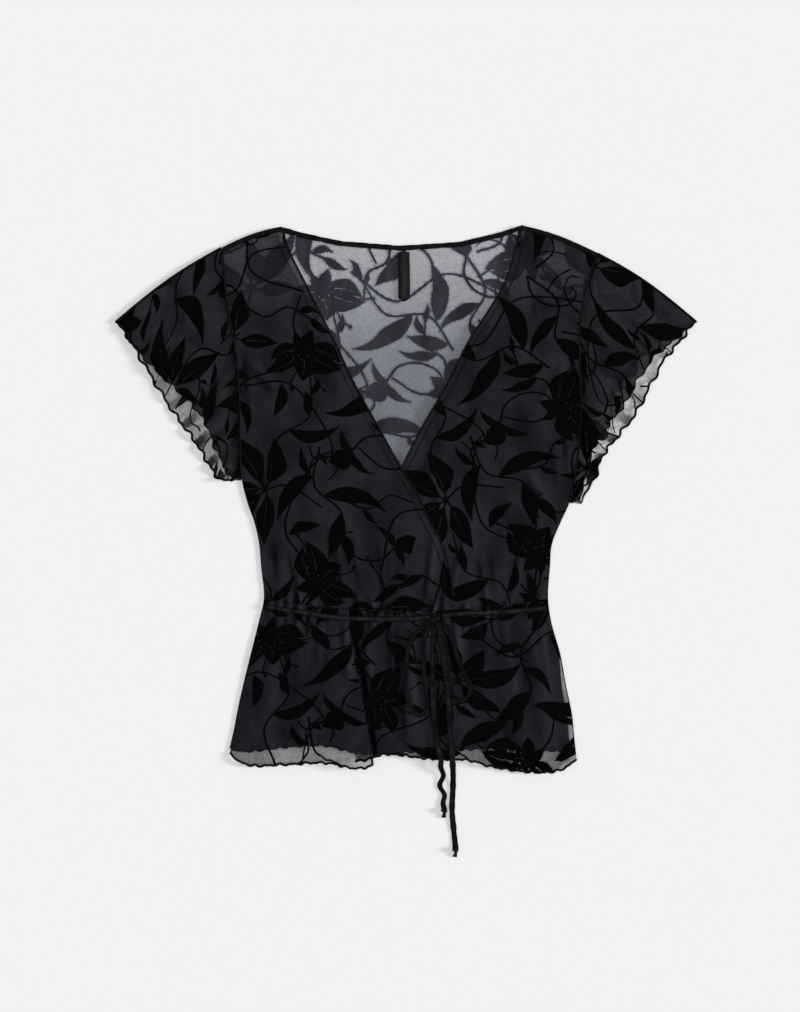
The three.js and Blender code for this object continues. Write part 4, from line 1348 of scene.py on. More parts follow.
@dataclass
class Bodice:
    """Back and crossing fronts, from the shoulders to the waist seam."""

    finishes: Finishes
    waist: float = WAIST_Y + SEAM_GAP / 2
    sheet_rise: float = 0.25
    right_shoulder_y: float = 264.0
    left_shoulder_y: float = 258.0
    under_top_y: float = 286.5
    over_top_y: float = 284.0
    gathered_to: float = -72.0
    top_points: int = 132
    front_cover: float = 0.93
    shoulder_cover: float = 0.74
    looser_over: Span = (170.0, 240.0)
    plain_rows: tuple[float, float, float] = (-58.0, 62.0, 9.0)
    plain_inset: float = 14.0
    plain_radius: float = 19.0

    def waist_run(self, right: Callable[[float], Array], left: Callable[[float], Array]) -> Array:
        """The waist seam from one edge to another."""
        run = between((float(right(self.waist)), self.waist), (float(left(self.waist)), self.waist))
        run[:, 1] -= waist_drop(run[:, 0])
        return run

    def shoulder(self, start: Spot, end: Spot) -> Array:
        """A shoulder edge, a little arched."""
        run = between(start, end)
        run[:, 1] += shoulder_bow(run[:, 0])
        return run

    def build(self) -> list[Panel]:
        back = self.back().make()
        under = self.under_front().make()
        over = self.over_front().make()
        back.declare(Held.LAID)
        under.declare(Held.LAID, [back.sheet])
        over.declare(Held.LAID, [back.sheet, under.sheet])
        return [back, under, over]

    def back(self) -> Panel:
        """The back, whose wrong side shows in the neckline with its velvet below the net."""
        keys, _ = BACK_TOP.pair("x", "y")
        x = np.linspace(keys[0], keys[-1], self.top_points)
        top = np.column_stack([x, BACK_TOP.read_straight("x", "y", x) + shoulder_bow(x)])
        outline = border(
            self.waist_run(right_edge, left_edge),
            edge_run(left_edge, self.waist, self.left_shoulder_y),
            top[::-1],
            edge_run(right_edge, self.right_shoulder_y, self.waist),
        )

        def cover(cut: Array) -> Array:
            """More open near the neck, closer towards the waist."""
            return BACK_COVER.read_straight("y", "cover", cut[:, 1])

        lay = keep_cut(LAYING.back, self.sheet_rise)
        return Panel("back_bodice_cloth", ("back_bodice",), outline, lay, cover, self.finishes.wrong_side,
                     self.finishes.velvet, (-150, -40), 8.0, pile=-0.4,
                     clearings=BACK_CLEARINGS.rows, is_wrong_side=True)

    def fronts_cover(self, cut: Array) -> Array:
        """Close net over the body, and a little looser at the shoulders."""
        return mix(self.front_cover, self.shoulder_cover, smooth(cut[:, 1], *self.looser_over))

    def under_front(self) -> Panel:
        """The wearer's left front, which lies underneath."""
        outline = border(
            self.waist_run(under_front_edge, left_edge),
            edge_run(left_edge, self.waist, self.left_shoulder_y),
            self.shoulder((float(left_edge(self.left_shoulder_y)), self.left_shoulder_y),
                          (float(under_front_edge(self.under_top_y)), self.under_top_y)),
            edge_run(under_front_edge, self.under_top_y, self.waist),
        )
        gathered = gathered_points(-60, WAIST_HALF + 1, self.waist - WAIST_SAG, self.gathered_to)
        return Panel("front_bodice_left_cloth", ("front_bodice_left",), outline, keep_cut(LAYING.front),
                     self.fronts_cover, self.finishes.lined_net, self.finishes.velvet, (40, -120), -14.0,
                     fine=[gathered], folded=True, clearings=LEFT_SHOULDER_CLEARING.rows)

    def over_front(self) -> Panel:
        """The wearer's right front, which lies on top, with a plain strip along its edge."""
        outline = border(
            self.waist_run(right_edge, top_front_edge),
            edge_run(top_front_edge, self.waist, self.over_top_y),
            self.shoulder((float(top_front_edge(self.over_top_y)), self.over_top_y),
                          (float(right_edge(self.right_shoulder_y)), self.right_shoulder_y)),
            edge_run(right_edge, self.right_shoulder_y, self.waist),
        )
        y = np.arange(*self.plain_rows)
        strip = np.column_stack([top_front_edge(y) - self.plain_inset, y, np.full_like(y, self.plain_radius)])
        gathered = gathered_points(-WAIST_HALF - 1, 52, self.waist - WAIST_SAG, self.gathered_to)
        return Panel("front_bodice_right_cloth", ("front_bodice_right",), outline, keep_cut(LAYING.top_front),
                     self.fronts_cover, self.finishes.lined_net, self.finishes.velvet, (-210, -90), 17.0,
                     fine=[gathered], folded=True, clearings=[*strip, *RIGHT_SHOULDER_CLEARING.rows])


HEM_LEANS = Table(("at", "width", "share"), ((132, 34, 1.0), (60, 20, 0.6)))
HEM_CLEARINGS = Table(CLEARING, ((20, -168, 21), (74, -168, 21), (132, -168, 21), (262, -168, 21)))


@dataclass
class Peplum:
    """The two peplums that hang from the waist seam, with ruffled hems."""

    finishes: Finishes
    waist: float = WAIST_Y - SEAM_GAP / 2
    scallop: float = 1.3
    fold_turn: float = 0.75
    fold_run_off: float = 42.0
    depth: float = 176.0
    front_width: float = 372.0
    back_width: float = 340.0
    side_strip: float = 6.0
    corner_drop: float = 2.0
    corner_drop_width: float = 50.0
    corner_rise: float = 6.0
    corner_rise_width: float = 60.0
    close_cover: float = 0.93
    single_cover: float = 0.6
    hem_loss: float = 0.2
    hem_loss_from: float = 24.0
    hem_loss_to: float = 6.0
    hem_step: float = 1.2
    seam_step: float = 2.0
    gathers_depth: float = 46.0
    hem_depth: float = 18.0

    def build(self) -> list[Panel]:
        back = self.back().make()
        front = self.front().make()
        back_hem = self.hem("back_peplum_rolled_hem", back, self.back_width)
        front_hem = self.hem("front_peplum_rolled_hem", front, self.front_width)
        back.declare(Held.LAID, trims=[back_hem])
        front.declare(Held.GATHERED, [back.sheet], [front_hem])
        return [back, front]

    def hem(self, name: str, panel: Panel, width: float) -> Piece:
        """A fine rolled edge along a peplum's hem."""
        run = between((0, -self.depth), (width, -self.depth), self.hem_step)
        return RolledEdge().make(name, panel.lay(run), self.finishes.edging)

    def spot(self, x: Array, down: Array, column: str) -> Array:
        """How far down the cloth lies at an x, with the hem's line and scallops."""
        straight = mix(self.waist, HEM_Y, down)
        drop = HEMS.read("x", column, x) - HEM_Y
        hem = (drop + self.scallop * uneven_wave(x)) * down**3
        return straight + hem - waist_drop(x) * (1 - down) ** 1.5

    def outline(self, width: float) -> Array:
        """The cut before it is laid: a plain rectangle hanging from the waist seam."""
        return border(
            between((0, -self.depth), (width, -self.depth), self.seam_step),
            between((width, -self.depth), (width, 0)),
            between((width, 0), (0, 0), self.seam_step),
            between((0, 0), (0, -self.depth)),
        )

    def back(self) -> Panel:
        """The back peplum, which lies on the surface."""
        def lay(cut: Array) -> Array:
            """Flat, within the body's outline."""
            down = -cut[:, 1] / self.depth
            straight = mix(self.waist, HEM_Y, down)
            left = left_edge(straight) - self.side_strip * smooth(down, 0.2, 0.7)
            x = mix(right_edge(straight), left, cut[:, 0] / self.back_width)
            y = self.spot(x, down, "back")
            return np.column_stack([x, y, LAYING.back(x, y)])

        return Panel("back_peplum_cloth", ("back_peplum",), self.outline(self.back_width), lay,
                     even_cover(self.close_cover), self.finishes.lined_net, self.finishes.velvet,
                     (30, 60), 4.0, pile=-0.3)

    def front(self) -> Panel:
        """The front peplum: its right part lies over a deep fold in the middle."""
        def cover(cut: Array) -> Array:
            """One layer of net, thinner at two places of the hem."""
            x = cut[:, 0]
            lean = sum(share * np.exp(-(((x - at) / width) ** 2)) for at, width, share in HEM_LEANS.rows)
            near_hem = smooth(-cut[:, 1], self.depth - self.hem_loss_from, self.depth - self.hem_loss_to)
            return self.single_cover - self.hem_loss * lean * near_hem

        over_hem = self.hem_depth - self.depth
        fine = [
            gathered_points(0, self.front_width, -self.gathers_depth, 0),
            gathered_points(0, self.front_width, -self.depth, over_hem, 2.0),
            gathered_points(122, 192, over_hem, -self.gathers_depth),
        ]
        return Panel("front_peplum_cloth", ("front_peplum",), self.outline(self.front_width), self.lay_front,
                     cover, self.finishes.net, self.finishes.velvet, (-30, 120), -7.0, fine=fine, folded=True,
                     clearings=HEM_CLEARINGS.rows)

    def lay_front(self, cut: Array) -> Array:
        """Lay the front: right part, turned edge, doubled part, second turn, left part."""
        radius = self.fold_turn
        layer = 2 * radius
        arc = math.pi * radius
        down = -cut[:, 1] / self.depth
        straight = mix(self.waist, HEM_Y, down)
        edge = DEEP_FOLD.read("y", "edge", straight)
        back = edge - DEEP_FOLD.read("y", "depth", straight)
        right, left = right_edge(straight), left_edge(straight)
        ends = np.cumsum(np.stack([edge - radius - right, np.full_like(edge, arc), edge - back - layer,
                                   np.full_like(edge, arc), left - back - radius]), axis=0)
        walked = cut[:, 0] / self.front_width * ends[-1]
        outer_angle = math.pi / 2 - (walked - ends[0]) / radius
        inner_angle = math.pi / 2 - (walked - ends[2]) / radius
        on_right = walked <= ends[0]
        on_outer = (walked > ends[0]) & (walked <= ends[1])
        on_doubled = (walked > ends[1]) & (walked <= ends[2])
        on_inner = (walked > ends[2]) & (walked <= ends[3])
        stretches = [on_right, on_outer, on_doubled, on_inner]
        x = np.select(stretches, [
            right + walked,
            edge - radius + radius * np.cos(outer_angle),
            edge - radius - (walked - ends[1]),
            back + radius - radius * np.cos(inner_angle),
        ], back + radius + walked - ends[3])
        climb = smooth(x - back, -self.fold_run_off, -radius)
        rise = np.select(stretches, [
            2 * layer * climb,
            1.5 * layer + radius * np.sin(outer_angle),
            np.full_like(x, layer),
            0.5 * layer + radius * np.sin(inner_angle),
        ], 0.0)
        y = self.spot(x, down, "front")
        over = on_right | on_outer
        drop = self.corner_drop * smooth(x - edge, -self.corner_drop_width, 0)
        lift = self.corner_rise * smooth(edge + self.corner_rise_width - x, 0, self.corner_rise_width)
        y -= np.where(over, drop, -lift) * down**3
        return np.column_stack([x, y, LAYING.front(x, y) + rise])


@dataclass(frozen=True)
class RolledEdge:
    """A hem rolled tight and oversewn, or a pressed fold: a cord of cloth along an edge."""

    thick: float = 2.4
    sides: int = 6
    rise: float = 0.2

    def make(self, name: str, line: Array, finish: Material, closed: bool = False,
             scale: Values = 1.0) -> Piece:
        """Roll an edge along a laid line.

        Args:
            name: the piece's name.
            line: points of the cloth's edge.
            finish: its material.
            closed: whether the line is a ring.
            scale: share of the thickness at each point.

        Returns:
            The rolled edge.
        """
        section = round_section(self.thick, self.thick, self.sides)
        points, faces = sweep(line + (0, 0, self.rise), section, scale=scale, closed=closed)
        return dress(make_mesh(name, points, faces, finish), Slot.MESH)


class Layer(Enum):
    """The two layers of a flattened sleeve."""

    FRONT = "front"
    BACK = "back"


@dataclass
class Sleeve:
    """A flutter sleeve: a tube of net pressed flat along its top, with a fluted hem.

    In the cut of a layer X runs along the armhole seam, from the top fold to the underarm, and
    the hem lies at -Y. A part is a share of the way along the seam.
    """

    finishes: Finishes
    name: str
    side: int
    hem_table: Table
    armhole: Rule
    top_y: float
    underarm_y: float
    roll_origin: Span
    roll_turn: float
    under_cover: float = 0.4
    upper_cover: float = 0.9
    seam_gap: float = 0.6
    seam_length: float = 262.0
    top_bow: float = 5.5
    turn: float = 0.75
    gap_at_armhole: float = 1.9
    gap_at_hem: float = 3.4
    open_from_seam: float = 0.15
    flutes: int = 9
    flute_height: float = 2.2
    flute_growth: float = 1.6
    flute_scallop: float = 1.6
    flute_drift: float = 0.012
    flute_drift_rate: float = 9.0
    unevenness: float = 0.25
    unevenness_rate: float = 0.37
    lean: float = 0.7
    second_lean: float = 0.5
    second_lean_rate: float = 1.83
    front_lean_phase: float = 0.8
    back_lean_phase: float = 2.4
    doubled_least: float = 0.12
    doubled_more: float = 0.5
    # Width and depth of the painted shade along the lower armhole seam
    shaded: float = 9.0
    shade_depth: float = 0.75
    fold_thick: float = 2.6
    cut_step: float = 2.0
    hem_step: float = 1.2
    hem_thin: float = 0.6
    hem_thins_over: int = 8
    bare_parts: Spot = (0.04, 0.14, 0.24, 0.34, 0.44, 0.54, 0.64)
    bare_inset: float = 5.0
    bare_radius: float = 24.0

    def build(self) -> list[Panel]:
        back = self.layer(Layer.BACK).make()
        front = self.layer(Layer.FRONT).make()
        top = between((0, 0), (0, -float(self.depth(np.zeros(1), Layer.FRONT)[0])), self.cut_step)
        line = self.lay(top, Layer.FRONT)
        fold = RolledEdge(self.fold_thick).make(f"{self.name}_top_fold", line, self.finishes.edging)
        back.declare(Held.LAID)
        front.declare(Held.LAID, [back.sheet], [self.hem(), fold])
        return [back, front]

    def hem(self) -> Piece:
        """The rolled hem: thinner along the front layer, then back along the other."""
        fore = self.hem_run(Layer.FRONT, self.hem_step)
        aft = self.hem_run(Layer.BACK, self.hem_step)[::-1]
        ring = np.vstack([self.lay(fore, Layer.FRONT), self.lay(aft, Layer.BACK)[1:-1]])
        on_back = smooth(np.arange(len(ring)), len(fore), len(fore) + self.hem_thins_over)
        scale = mix(self.hem_thin, 1, on_back)
        return RolledEdge().make(f"{self.name}_rolled_hem", ring, self.finishes.edging, True, scale)

    def hem_place(self, part: Array, layer: Layer) -> tuple[Array, Array]:
        """Where the hem lies."""
        return tuple(self.hem_table.read("part", f"{layer.value}_{axis}", part) for axis in "xy")

    def depth(self, part: Array, layer: Layer) -> Array:
        """Length of the cloth from the armhole seam to the hem."""
        arm_y = mix(self.top_y, self.underarm_y, part)
        hem_x, hem_y = self.hem_place(part, layer)
        return np.hypot(hem_x - self.armhole(arm_y), hem_y - arm_y)

    def hem_run(self, layer: Layer, step: float) -> Array:
        """The hem in a layer's cut."""
        part = np.linspace(0, 1, round(self.seam_length / step))
        return np.column_stack([part * self.seam_length, -self.depth(part, layer)])

    def part_and_out(self, cut: Array, layer: Layer) -> tuple[Array, Array]:
        """How far along the seam and how far out to the hem the cut's points are, from 0 to 1."""
        part = np.clip(cut[:, 0] / self.seam_length, 0, 1)
        return part, np.clip(-cut[:, 1] / self.depth(part, layer), 0, 1)

    def flute_turn(self, part: Array) -> Array:
        """How far through its flutes the hem is, in radians."""
        return FULL_TURN * self.flutes * (part + self.flute_drift * np.sin(self.flute_drift_rate * part))

    def lay(self, cut: Array, layer: Layer) -> Array:
        """Lay a layer of the sleeve from its cut."""
        part, out = self.part_and_out(cut, layer)
        arm_y = mix(self.top_y, self.underarm_y, part)
        seam_x = self.armhole(arm_y) + self.side * self.seam_gap
        hem_x, hem_y = self.hem_place(part, layer)
        bow = self.top_bow * np.sin(math.pi * out) * (1 - part) ** 2
        turn = self.flute_turn(part)
        height = self.flute_height * (1 + self.flute_growth * part**2) * out**2
        uneven = 1 - self.unevenness + self.unevenness * np.sin(self.unevenness_rate * turn + 1)
        rise = height * (0.5 - 0.5 * np.cos(turn)) * uneven
        phase = self.front_lean_phase if layer is Layer.FRONT else self.back_lean_phase
        lean = self.lean * np.cos(turn) + self.second_lean * np.cos(self.second_lean_rate * turn + phase)
        push = self.flute_scallop * out**3 * lean
        lift = self.front_lift(part, out) if layer is Layer.FRONT else 0
        return np.column_stack([
            mix(seam_x, hem_x, out) + self.side * push,
            mix(arm_y, hem_y, out) + bow - push / 2,
            LAYING.floor_layer + rise + lift,
        ])

    def front_lift(self, part: Array, out: Array) -> Array:
        """How far the front layer lies over the back one: most at the sleeve's open mouth."""
        middle = np.sin(math.pi * part)
        mouth = np.sqrt(np.maximum(middle, 0))
        open_by = mix(self.gap_at_armhole, self.gap_at_hem, out) * mouth * smooth(middle, 0, 1)
        return 2 * self.turn + open_by * smooth(out, 0, self.open_from_seam)

    def layer(self, layer: Layer) -> Panel:
        """One layer of the flattened sleeve as a panel."""
        is_front = layer is Layer.FRONT
        hem = self.hem_run(layer, self.cut_step)
        outline = border(
            hem,
            between(hem[-1], (self.seam_length, 0)),
            between((self.seam_length, 0), (0, 0)),
            between((0, 0), hem[0]),
        )
        along = np.array(self.bare_parts)
        bare = np.column_stack([along * self.seam_length, self.bare_inset - self.depth(along, layer),
                                np.full_like(along, self.bare_radius)])
        return Panel(f"{self.name}_{layer.value}_cloth", (self.name,) if is_front else (), outline,
                     lambda cut: self.lay(cut, layer),
                     even_cover(self.upper_cover) if is_front else self.back_cover,
                     self.finishes.lined_net if is_front else self.finishes.net, self.finishes.velvet,
                     self.roll_origin, self.roll_turn + (0 if is_front else 180),
                     pile=0.45 if is_front else -0.3, tone=lambda cut: self.tone(cut, layer),
                     clearings=() if is_front else bare)

    def back_cover(self, cut: Array) -> Array:
        """The lower layer is open, and doubled where a flute of its hem leans over."""
        part, out = self.part_and_out(cut, Layer.BACK)
        leaning = smooth(np.sin(FULL_TURN * self.flutes * part + 0.6), 0.2, 0.6)
        doubled = self.doubled_more * smooth(part, 0.35, 0.75) + self.doubled_least
        return self.under_cover + doubled * smooth(out, 0.6, 0.95) * leaning

    def tone(self, cut: Array, layer: Layer) -> Array:
        """Painted highlight on one side of each flute and painted shade on the other, most near the underarm.

        The cloth also carries painted shade along the lower armhole seam, among its gathers.
        """
        part, out = self.part_and_out(cut, layer)
        turn = self.flute_turn(part)
        contrast = (0.15 + 0.5 * part) * smooth(out, 0.1, 0.9)
        # Painted highlight on one side of each flute, painted shade on the other
        flutes = 1 + contrast * np.sin(turn + 0.4 * np.sin(0.6 * turn))
        seam_shade = smooth(part, 0.2, 0.5) * np.exp(-((cut[:, 1] / self.shaded) ** 2))
        return flutes * (1 - self.shade_depth * seam_shade)


# Ties and trimmings

RIGHT_TIE = ((-146.5, -112), (-118, -117), (-96, -120), (-70, -124), (-26, -125.5), (6, -125), (26, -123))
LEFT_TIE = ((37.5, -122), (56, -120), (76, -119), (104, -118), (126, -116), (146.5, -114))
KNOT_PLACE = (31.6, -122.5, 7.8)
KNOT_SIZE = (10.6, 9.6, 6.2)
END_KNOT_SIZE = (7.2, 11.0, 5.4)
SHORT_END = (40.2, -328.4, 2.9)
LONG_END = (52.0, -369.6, 2.9)
RIGHT_LOOP = (
    (25, -127, 7.7), (19, -131.5, 7.3), (9, -141, 6.5), (2, -158, 7.1), (-0.5, -181, 7.1),
    (1, -203, 6.9), (7, -220, 6.7), (14.5, -226, 6.5), (21, -219, 6.3), (20.8, -203, 6.2),
    (19.2, -187, 6.2), (18, -168, 6.2), (18.5, -150, 5.9), (22, -137, 5.7), (26.2, -129.6, 5.7),
)
LEFT_LOOP = (
    (37.8, -127.2, 7.6), (43, -134, 7.1), (48.5, -147, 6.0), (53, -163, 5.8), (59.5, -180, 5.8),
    (66.5, -194, 5.8), (65.5, -206, 5.8), (57.5, -211.5, 5.8), (49.5, -205, 5.8), (46, -191, 5.9),
    (44, -172, 5.9), (41.5, -152, 5.8), (37.5, -137, 5.6), (36.2, -129.8, 5.6),
)
SHORT_TAIL = (
    (30.4, -128.4, 7.7), (29.6, -134, 7.6), (28.8, -150, 6.4), (27.8, -172, 6.1), (27.8, -196, 6.1),
    (28.8, -220, 6.1), (31, -245, 6.4), (34, -262, 7.5), (37, -276, 7.5), (38, -289, 3.0),
    (36.6, -301, 1.3), (39.6, -312, 1.0), (40.2, -322.4, 1.1),
)
LONG_TAIL = (
    (33.4, -127.9, 9.6), (34.4, -134, 9.6), (37, -150, 8.2), (40.2, -172, 7.9), (43, -196, 7.9),
    (44.6, -216, 6.7), (46.2, -245, 6.2), (47.6, -262, 6.9), (48.8, -276, 6.9), (49.4, -289, 3.0),
    (49.2, -304, 1.3), (48.4, -326, 1.0), (50.4, -350, 1.0), (51.8, -363.6, 1.1),
)


class FarEnd(Enum):
    """What a free length of tie ends in."""

    BOW = "object"
    KNOT = "knot"


def lumps(along: Array, height: float, short: float, long: float) -> Array:
    """Small uneven lumps along a strip."""
    return height * np.sin(along / short) * np.sin(along / long)


@dataclass
class Ties:
    """Narrow ties of folded net, from the side seams to a bow with two loops and two ends."""

    finishes: Finishes
    width: float = 6.4
    thick: float = 1.2
    ease: float = 0.35
    half_cloth: float = 0.5
    step: float = 1.6
    pulled: float = 0.95
    loop_scale: float = 0.68
    on_cloth: float = 0.36
    on_surface: float = 0.62
    in_loop: float = 0.66
    leaves_hem: float = 4.0
    off_hem: float = 6.0
    wiggle_rate: float = 0.32
    wiggle_thinning: float = 0.12
    into_knot: float = 4.0
    up_into_knot: float = 0.8
    free_roll: float = 0.25
    free_roll_length: float = 9.0
    waist_pull: float = 0.1
    waist_roll: float = 0.06
    waist_roll_length: float = 14.0
    fold_height: float = 3.0
    before_fold: Span = (-54, -12)
    after_fold: Span = (2, 16)
    even_over: int = 11
    strand: float = 3.2
    strand_flatness: float = 0.8
    strand_sides: int = 10
    knot_points: int = 96
    end_share: float = 0.42
    end_leaves: float = 0.4
    end_tip: Span = (0.8, 1.0)
    end_bow: float = 0.3
    end_step: float = 0.8
    end_flare: float = 0.6
    end_section: Span = (0.75, 0.8)
    end_roll: float = 0.3
    end_shade: float = 0.4

    def build(self) -> None:
        """Make the bow's knots, then its free lengths and the ties along the waist."""
        self.knot("bow_centre", "bow_knot", KNOT_PLACE, KNOT_SIZE)
        short_end = self.knot("short_end_knot", "tail_knot_short", SHORT_END, END_KNOT_SIZE, has_end=True)
        long_end = self.knot("long_end_knot", "tail_knot_long", LONG_END, END_KNOT_SIZE, has_end=True)
        self.free_length("bow_loop_right_tape", "bow_loop_right", RIGHT_LOOP)
        self.free_length("bow_loop_left_tape", "bow_loop_left", LEFT_LOOP)
        self.free_length("short_end_tape", "tie_tail_short", SHORT_TAIL, 1.2, [short_end])
        self.free_length("long_end_tape", "tie_tail_long", LONG_TAIL, 0.0, [long_end])
        self.waist_tie("waist_tie_right_tape", "waist_tie_right", RIGHT_TIE)
        self.waist_tie("waist_tie_left_tape", "waist_tie_left", LEFT_TIE)

    def section(self) -> Array:
        """A pressed strip: flat, with round edges and a slight hollow along its middle."""
        across = np.array([1, 0.94, 0.8, 0.55, 0.2, -0.2, -0.55, -0.8, -0.94, -1])
        up = np.array([0, 0.8, 1, 0.9, 0.8, 0.8, 0.9, 1, 0.8, 0])
        top = np.column_stack([across * self.width / 2, up * self.thick / 2])
        return np.vstack([top, (top * (1, -1))[-2:0:-1]])

    def tape(self, name: str, node: str, path: Array, roll: Values, scale: Values = 1.0,
             shade: Values = 0.0) -> Piece:
        """A length of tie along a path.

        Args:
            name: the piece's name.
            node: the solid that it stands for.
            path: points of its middle line.
            roll: turn about the path at each point, in radians.
            scale: size of the section at each point.
            shade: how much darker it is at each point, from 0 to 1.

        Returns:
            The tape.
        """
        section = self.section()
        points, faces = sweep(path, section, roll, scale)
        piece = make_mesh(name, points, faces, self.finishes.tape)
        # Painted shade on the strip's rounded edges, which are also its folds
        edge = smooth(np.abs(section[:, 0]) / (self.width / 2), 0.4, 0.8)
        darker = np.broadcast_to(shade, len(path))
        set_shade(piece, "edge", (edge[None, :] + darker[:, None]).ravel())
        return dress(piece, Slot.TIE, node)

    def free_length(self, name: str, node: str, route: Rows,
                    wiggle: float = 0.0, pieces: Sequence[Piece] = ()) -> None:
        """A free length of the tie, whose real length along its path is worked out.

        Args:
            name: the piece's name.
            node: the solid that it stands for.
            route: the points that it passes through.
            wiggle: how far its end swings to and fro on the surface.
            pieces: what is on it.
        """
        path = smooth_path(route, self.step)
        beyond = smooth(-path[:, 1], -HEM_Y - self.leaves_hem, -HEM_Y + self.off_hem)
        path[:, 0] += wiggle * beyond * np.sin(path[:, 1] * self.wiggle_rate)
        if pieces:
            onward = (path[-1] - path[-2]) / norm(path[-1] - path[-2])
            end = path[-1] + onward * self.into_knot * (1, 1, 0) + (0, 0, self.up_into_knot)
            path = np.vstack([path, end])
            beyond = np.append(beyond, 1.0)
        y = path[:, 1]
        scale = (self.pulled if pieces else self.loop_scale) * (1 + lumps(y, 0.1, 2.3, 7.1))
        scale = scale * (1 - self.wiggle_thinning * wiggle * beyond)
        shade = mix(self.on_cloth, self.on_surface, beyond) if pieces else self.in_loop
        piece = self.tape(name, node, path, self.free_roll * np.sin(y / self.free_roll_length), scale, shade)
        length = float(np.sum(norm(np.diff(path, axis=0), axis=1))) * MM

    def waist_tie(self, name: str, node: str, line: Rows) -> None:
        """A tie as it lies over the waist, from its side seam to the knot."""
        flat = smooth_path(line, self.step)
        x, y = flat[:, 0], flat[:, 1]
        beyond = x - DEEP_FOLD.read("y", "edge", y)
        climb = smooth(beyond, *self.before_fold) * (1 - smooth(beyond, *self.after_fold))
        cloth = LAYING.front(x, y) + self.fold_height * climb
        height = cloth + self.half_cloth + self.thick / 2 + SEAM_GAP + self.ease
        padded = np.pad(height, self.even_over // 2, mode="edge")
        even = np.convolve(padded, np.ones(self.even_over) / self.even_over, "valid")
        path = np.column_stack([flat, np.maximum(even, height)])
        scale = self.pulled - self.waist_pull + lumps(x, 0.05, 9, 23)
        self.tape(name, node, path, self.waist_roll * np.sin(x / self.waist_roll_length), scale)

    def knot(self, name: str, node: str, place: Spot, size: Spot,
             has_end: bool = False) -> Piece:
        """An overhand knot of the tie, pulled tight into its solid's size.

        Args:
            name: the piece's name.
            node: the solid that it stands for.
            place: middle of the solid.
            size: width, length and height of the solid.
            has_end: whether a short cut end of the tape sticks out below.

        Returns:
            The knot.
        """
        wide, long, high = size
        middle = np.array(place, float)
        if has_end:
            middle[1] += long * self.end_share / 2
            long *= 1 - self.end_share
        angles = np.linspace(0, FULL_TURN, self.knot_points, endpoint=False)
        lobes = np.column_stack([
            np.cos(angles) - 2 * np.cos(2 * angles),
            np.sin(angles) + 2 * np.sin(2 * angles),
            -np.sin(3 * angles),
        ])
        lobes /= np.abs(lobes).max(axis=0)
        half = (np.array((wide, long, high)) - self.strand) / 2
        section = round_section(self.strand, self.strand * self.strand_flatness, self.strand_sides)
        points, faces = sweep(lobes * half + middle, section, closed=True)
        # Painted shade on the sides of the round strand, its top and bottom left lighter
        round_strand = np.arange(self.strand_sides) * FULL_TURN / self.strand_sides
        shade = np.tile(np.cos(round_strand) ** 2, self.knot_points)
        if has_end:
            start = middle - (0, long / 2 - self.strand / 2, self.end_leaves)
            aside, level = self.end_tip
            tip = np.array(place, float) - (aside, size[1] / 2, middle[2] - level)
            route = smooth_path([start, (start + tip) / 2 + (self.end_bow, 0, 0), tip], self.end_step)
            flare = np.linspace(self.end_flare, 1.0, len(route))
            more, skin = sweep(route, self.section() * self.end_section, self.end_roll, flare)
            faces += [[number + len(points) for number in face] for face in skin]
            shade = np.concatenate([shade, np.full(len(more), self.end_shade)])
            points = np.vstack([points, more])
        piece = make_mesh(name, points, faces, self.finishes.tape)
        set_shade(piece, "edge", shade)
        return dress(piece, Slot.TIE, node)


SIDES = Table(("side", "shoulder_y", "underarm_y"), ((-1, 262, 22), (1, 257, -2)))
# Lines along the edge of a front: part, inset, thickness, rise
FRONT_EDGE_LINES = (("fold", 0.3, 2.0, 0.25), ("stitching", 7.5, 0.7, 0.35))
SHOULDER_SEAMS = Table(("outer_x", "outer_y", "inner_x", "inner_y"), (
    (-192, 262, -130, 282.4), (200, 256.4, 120, 284),
))


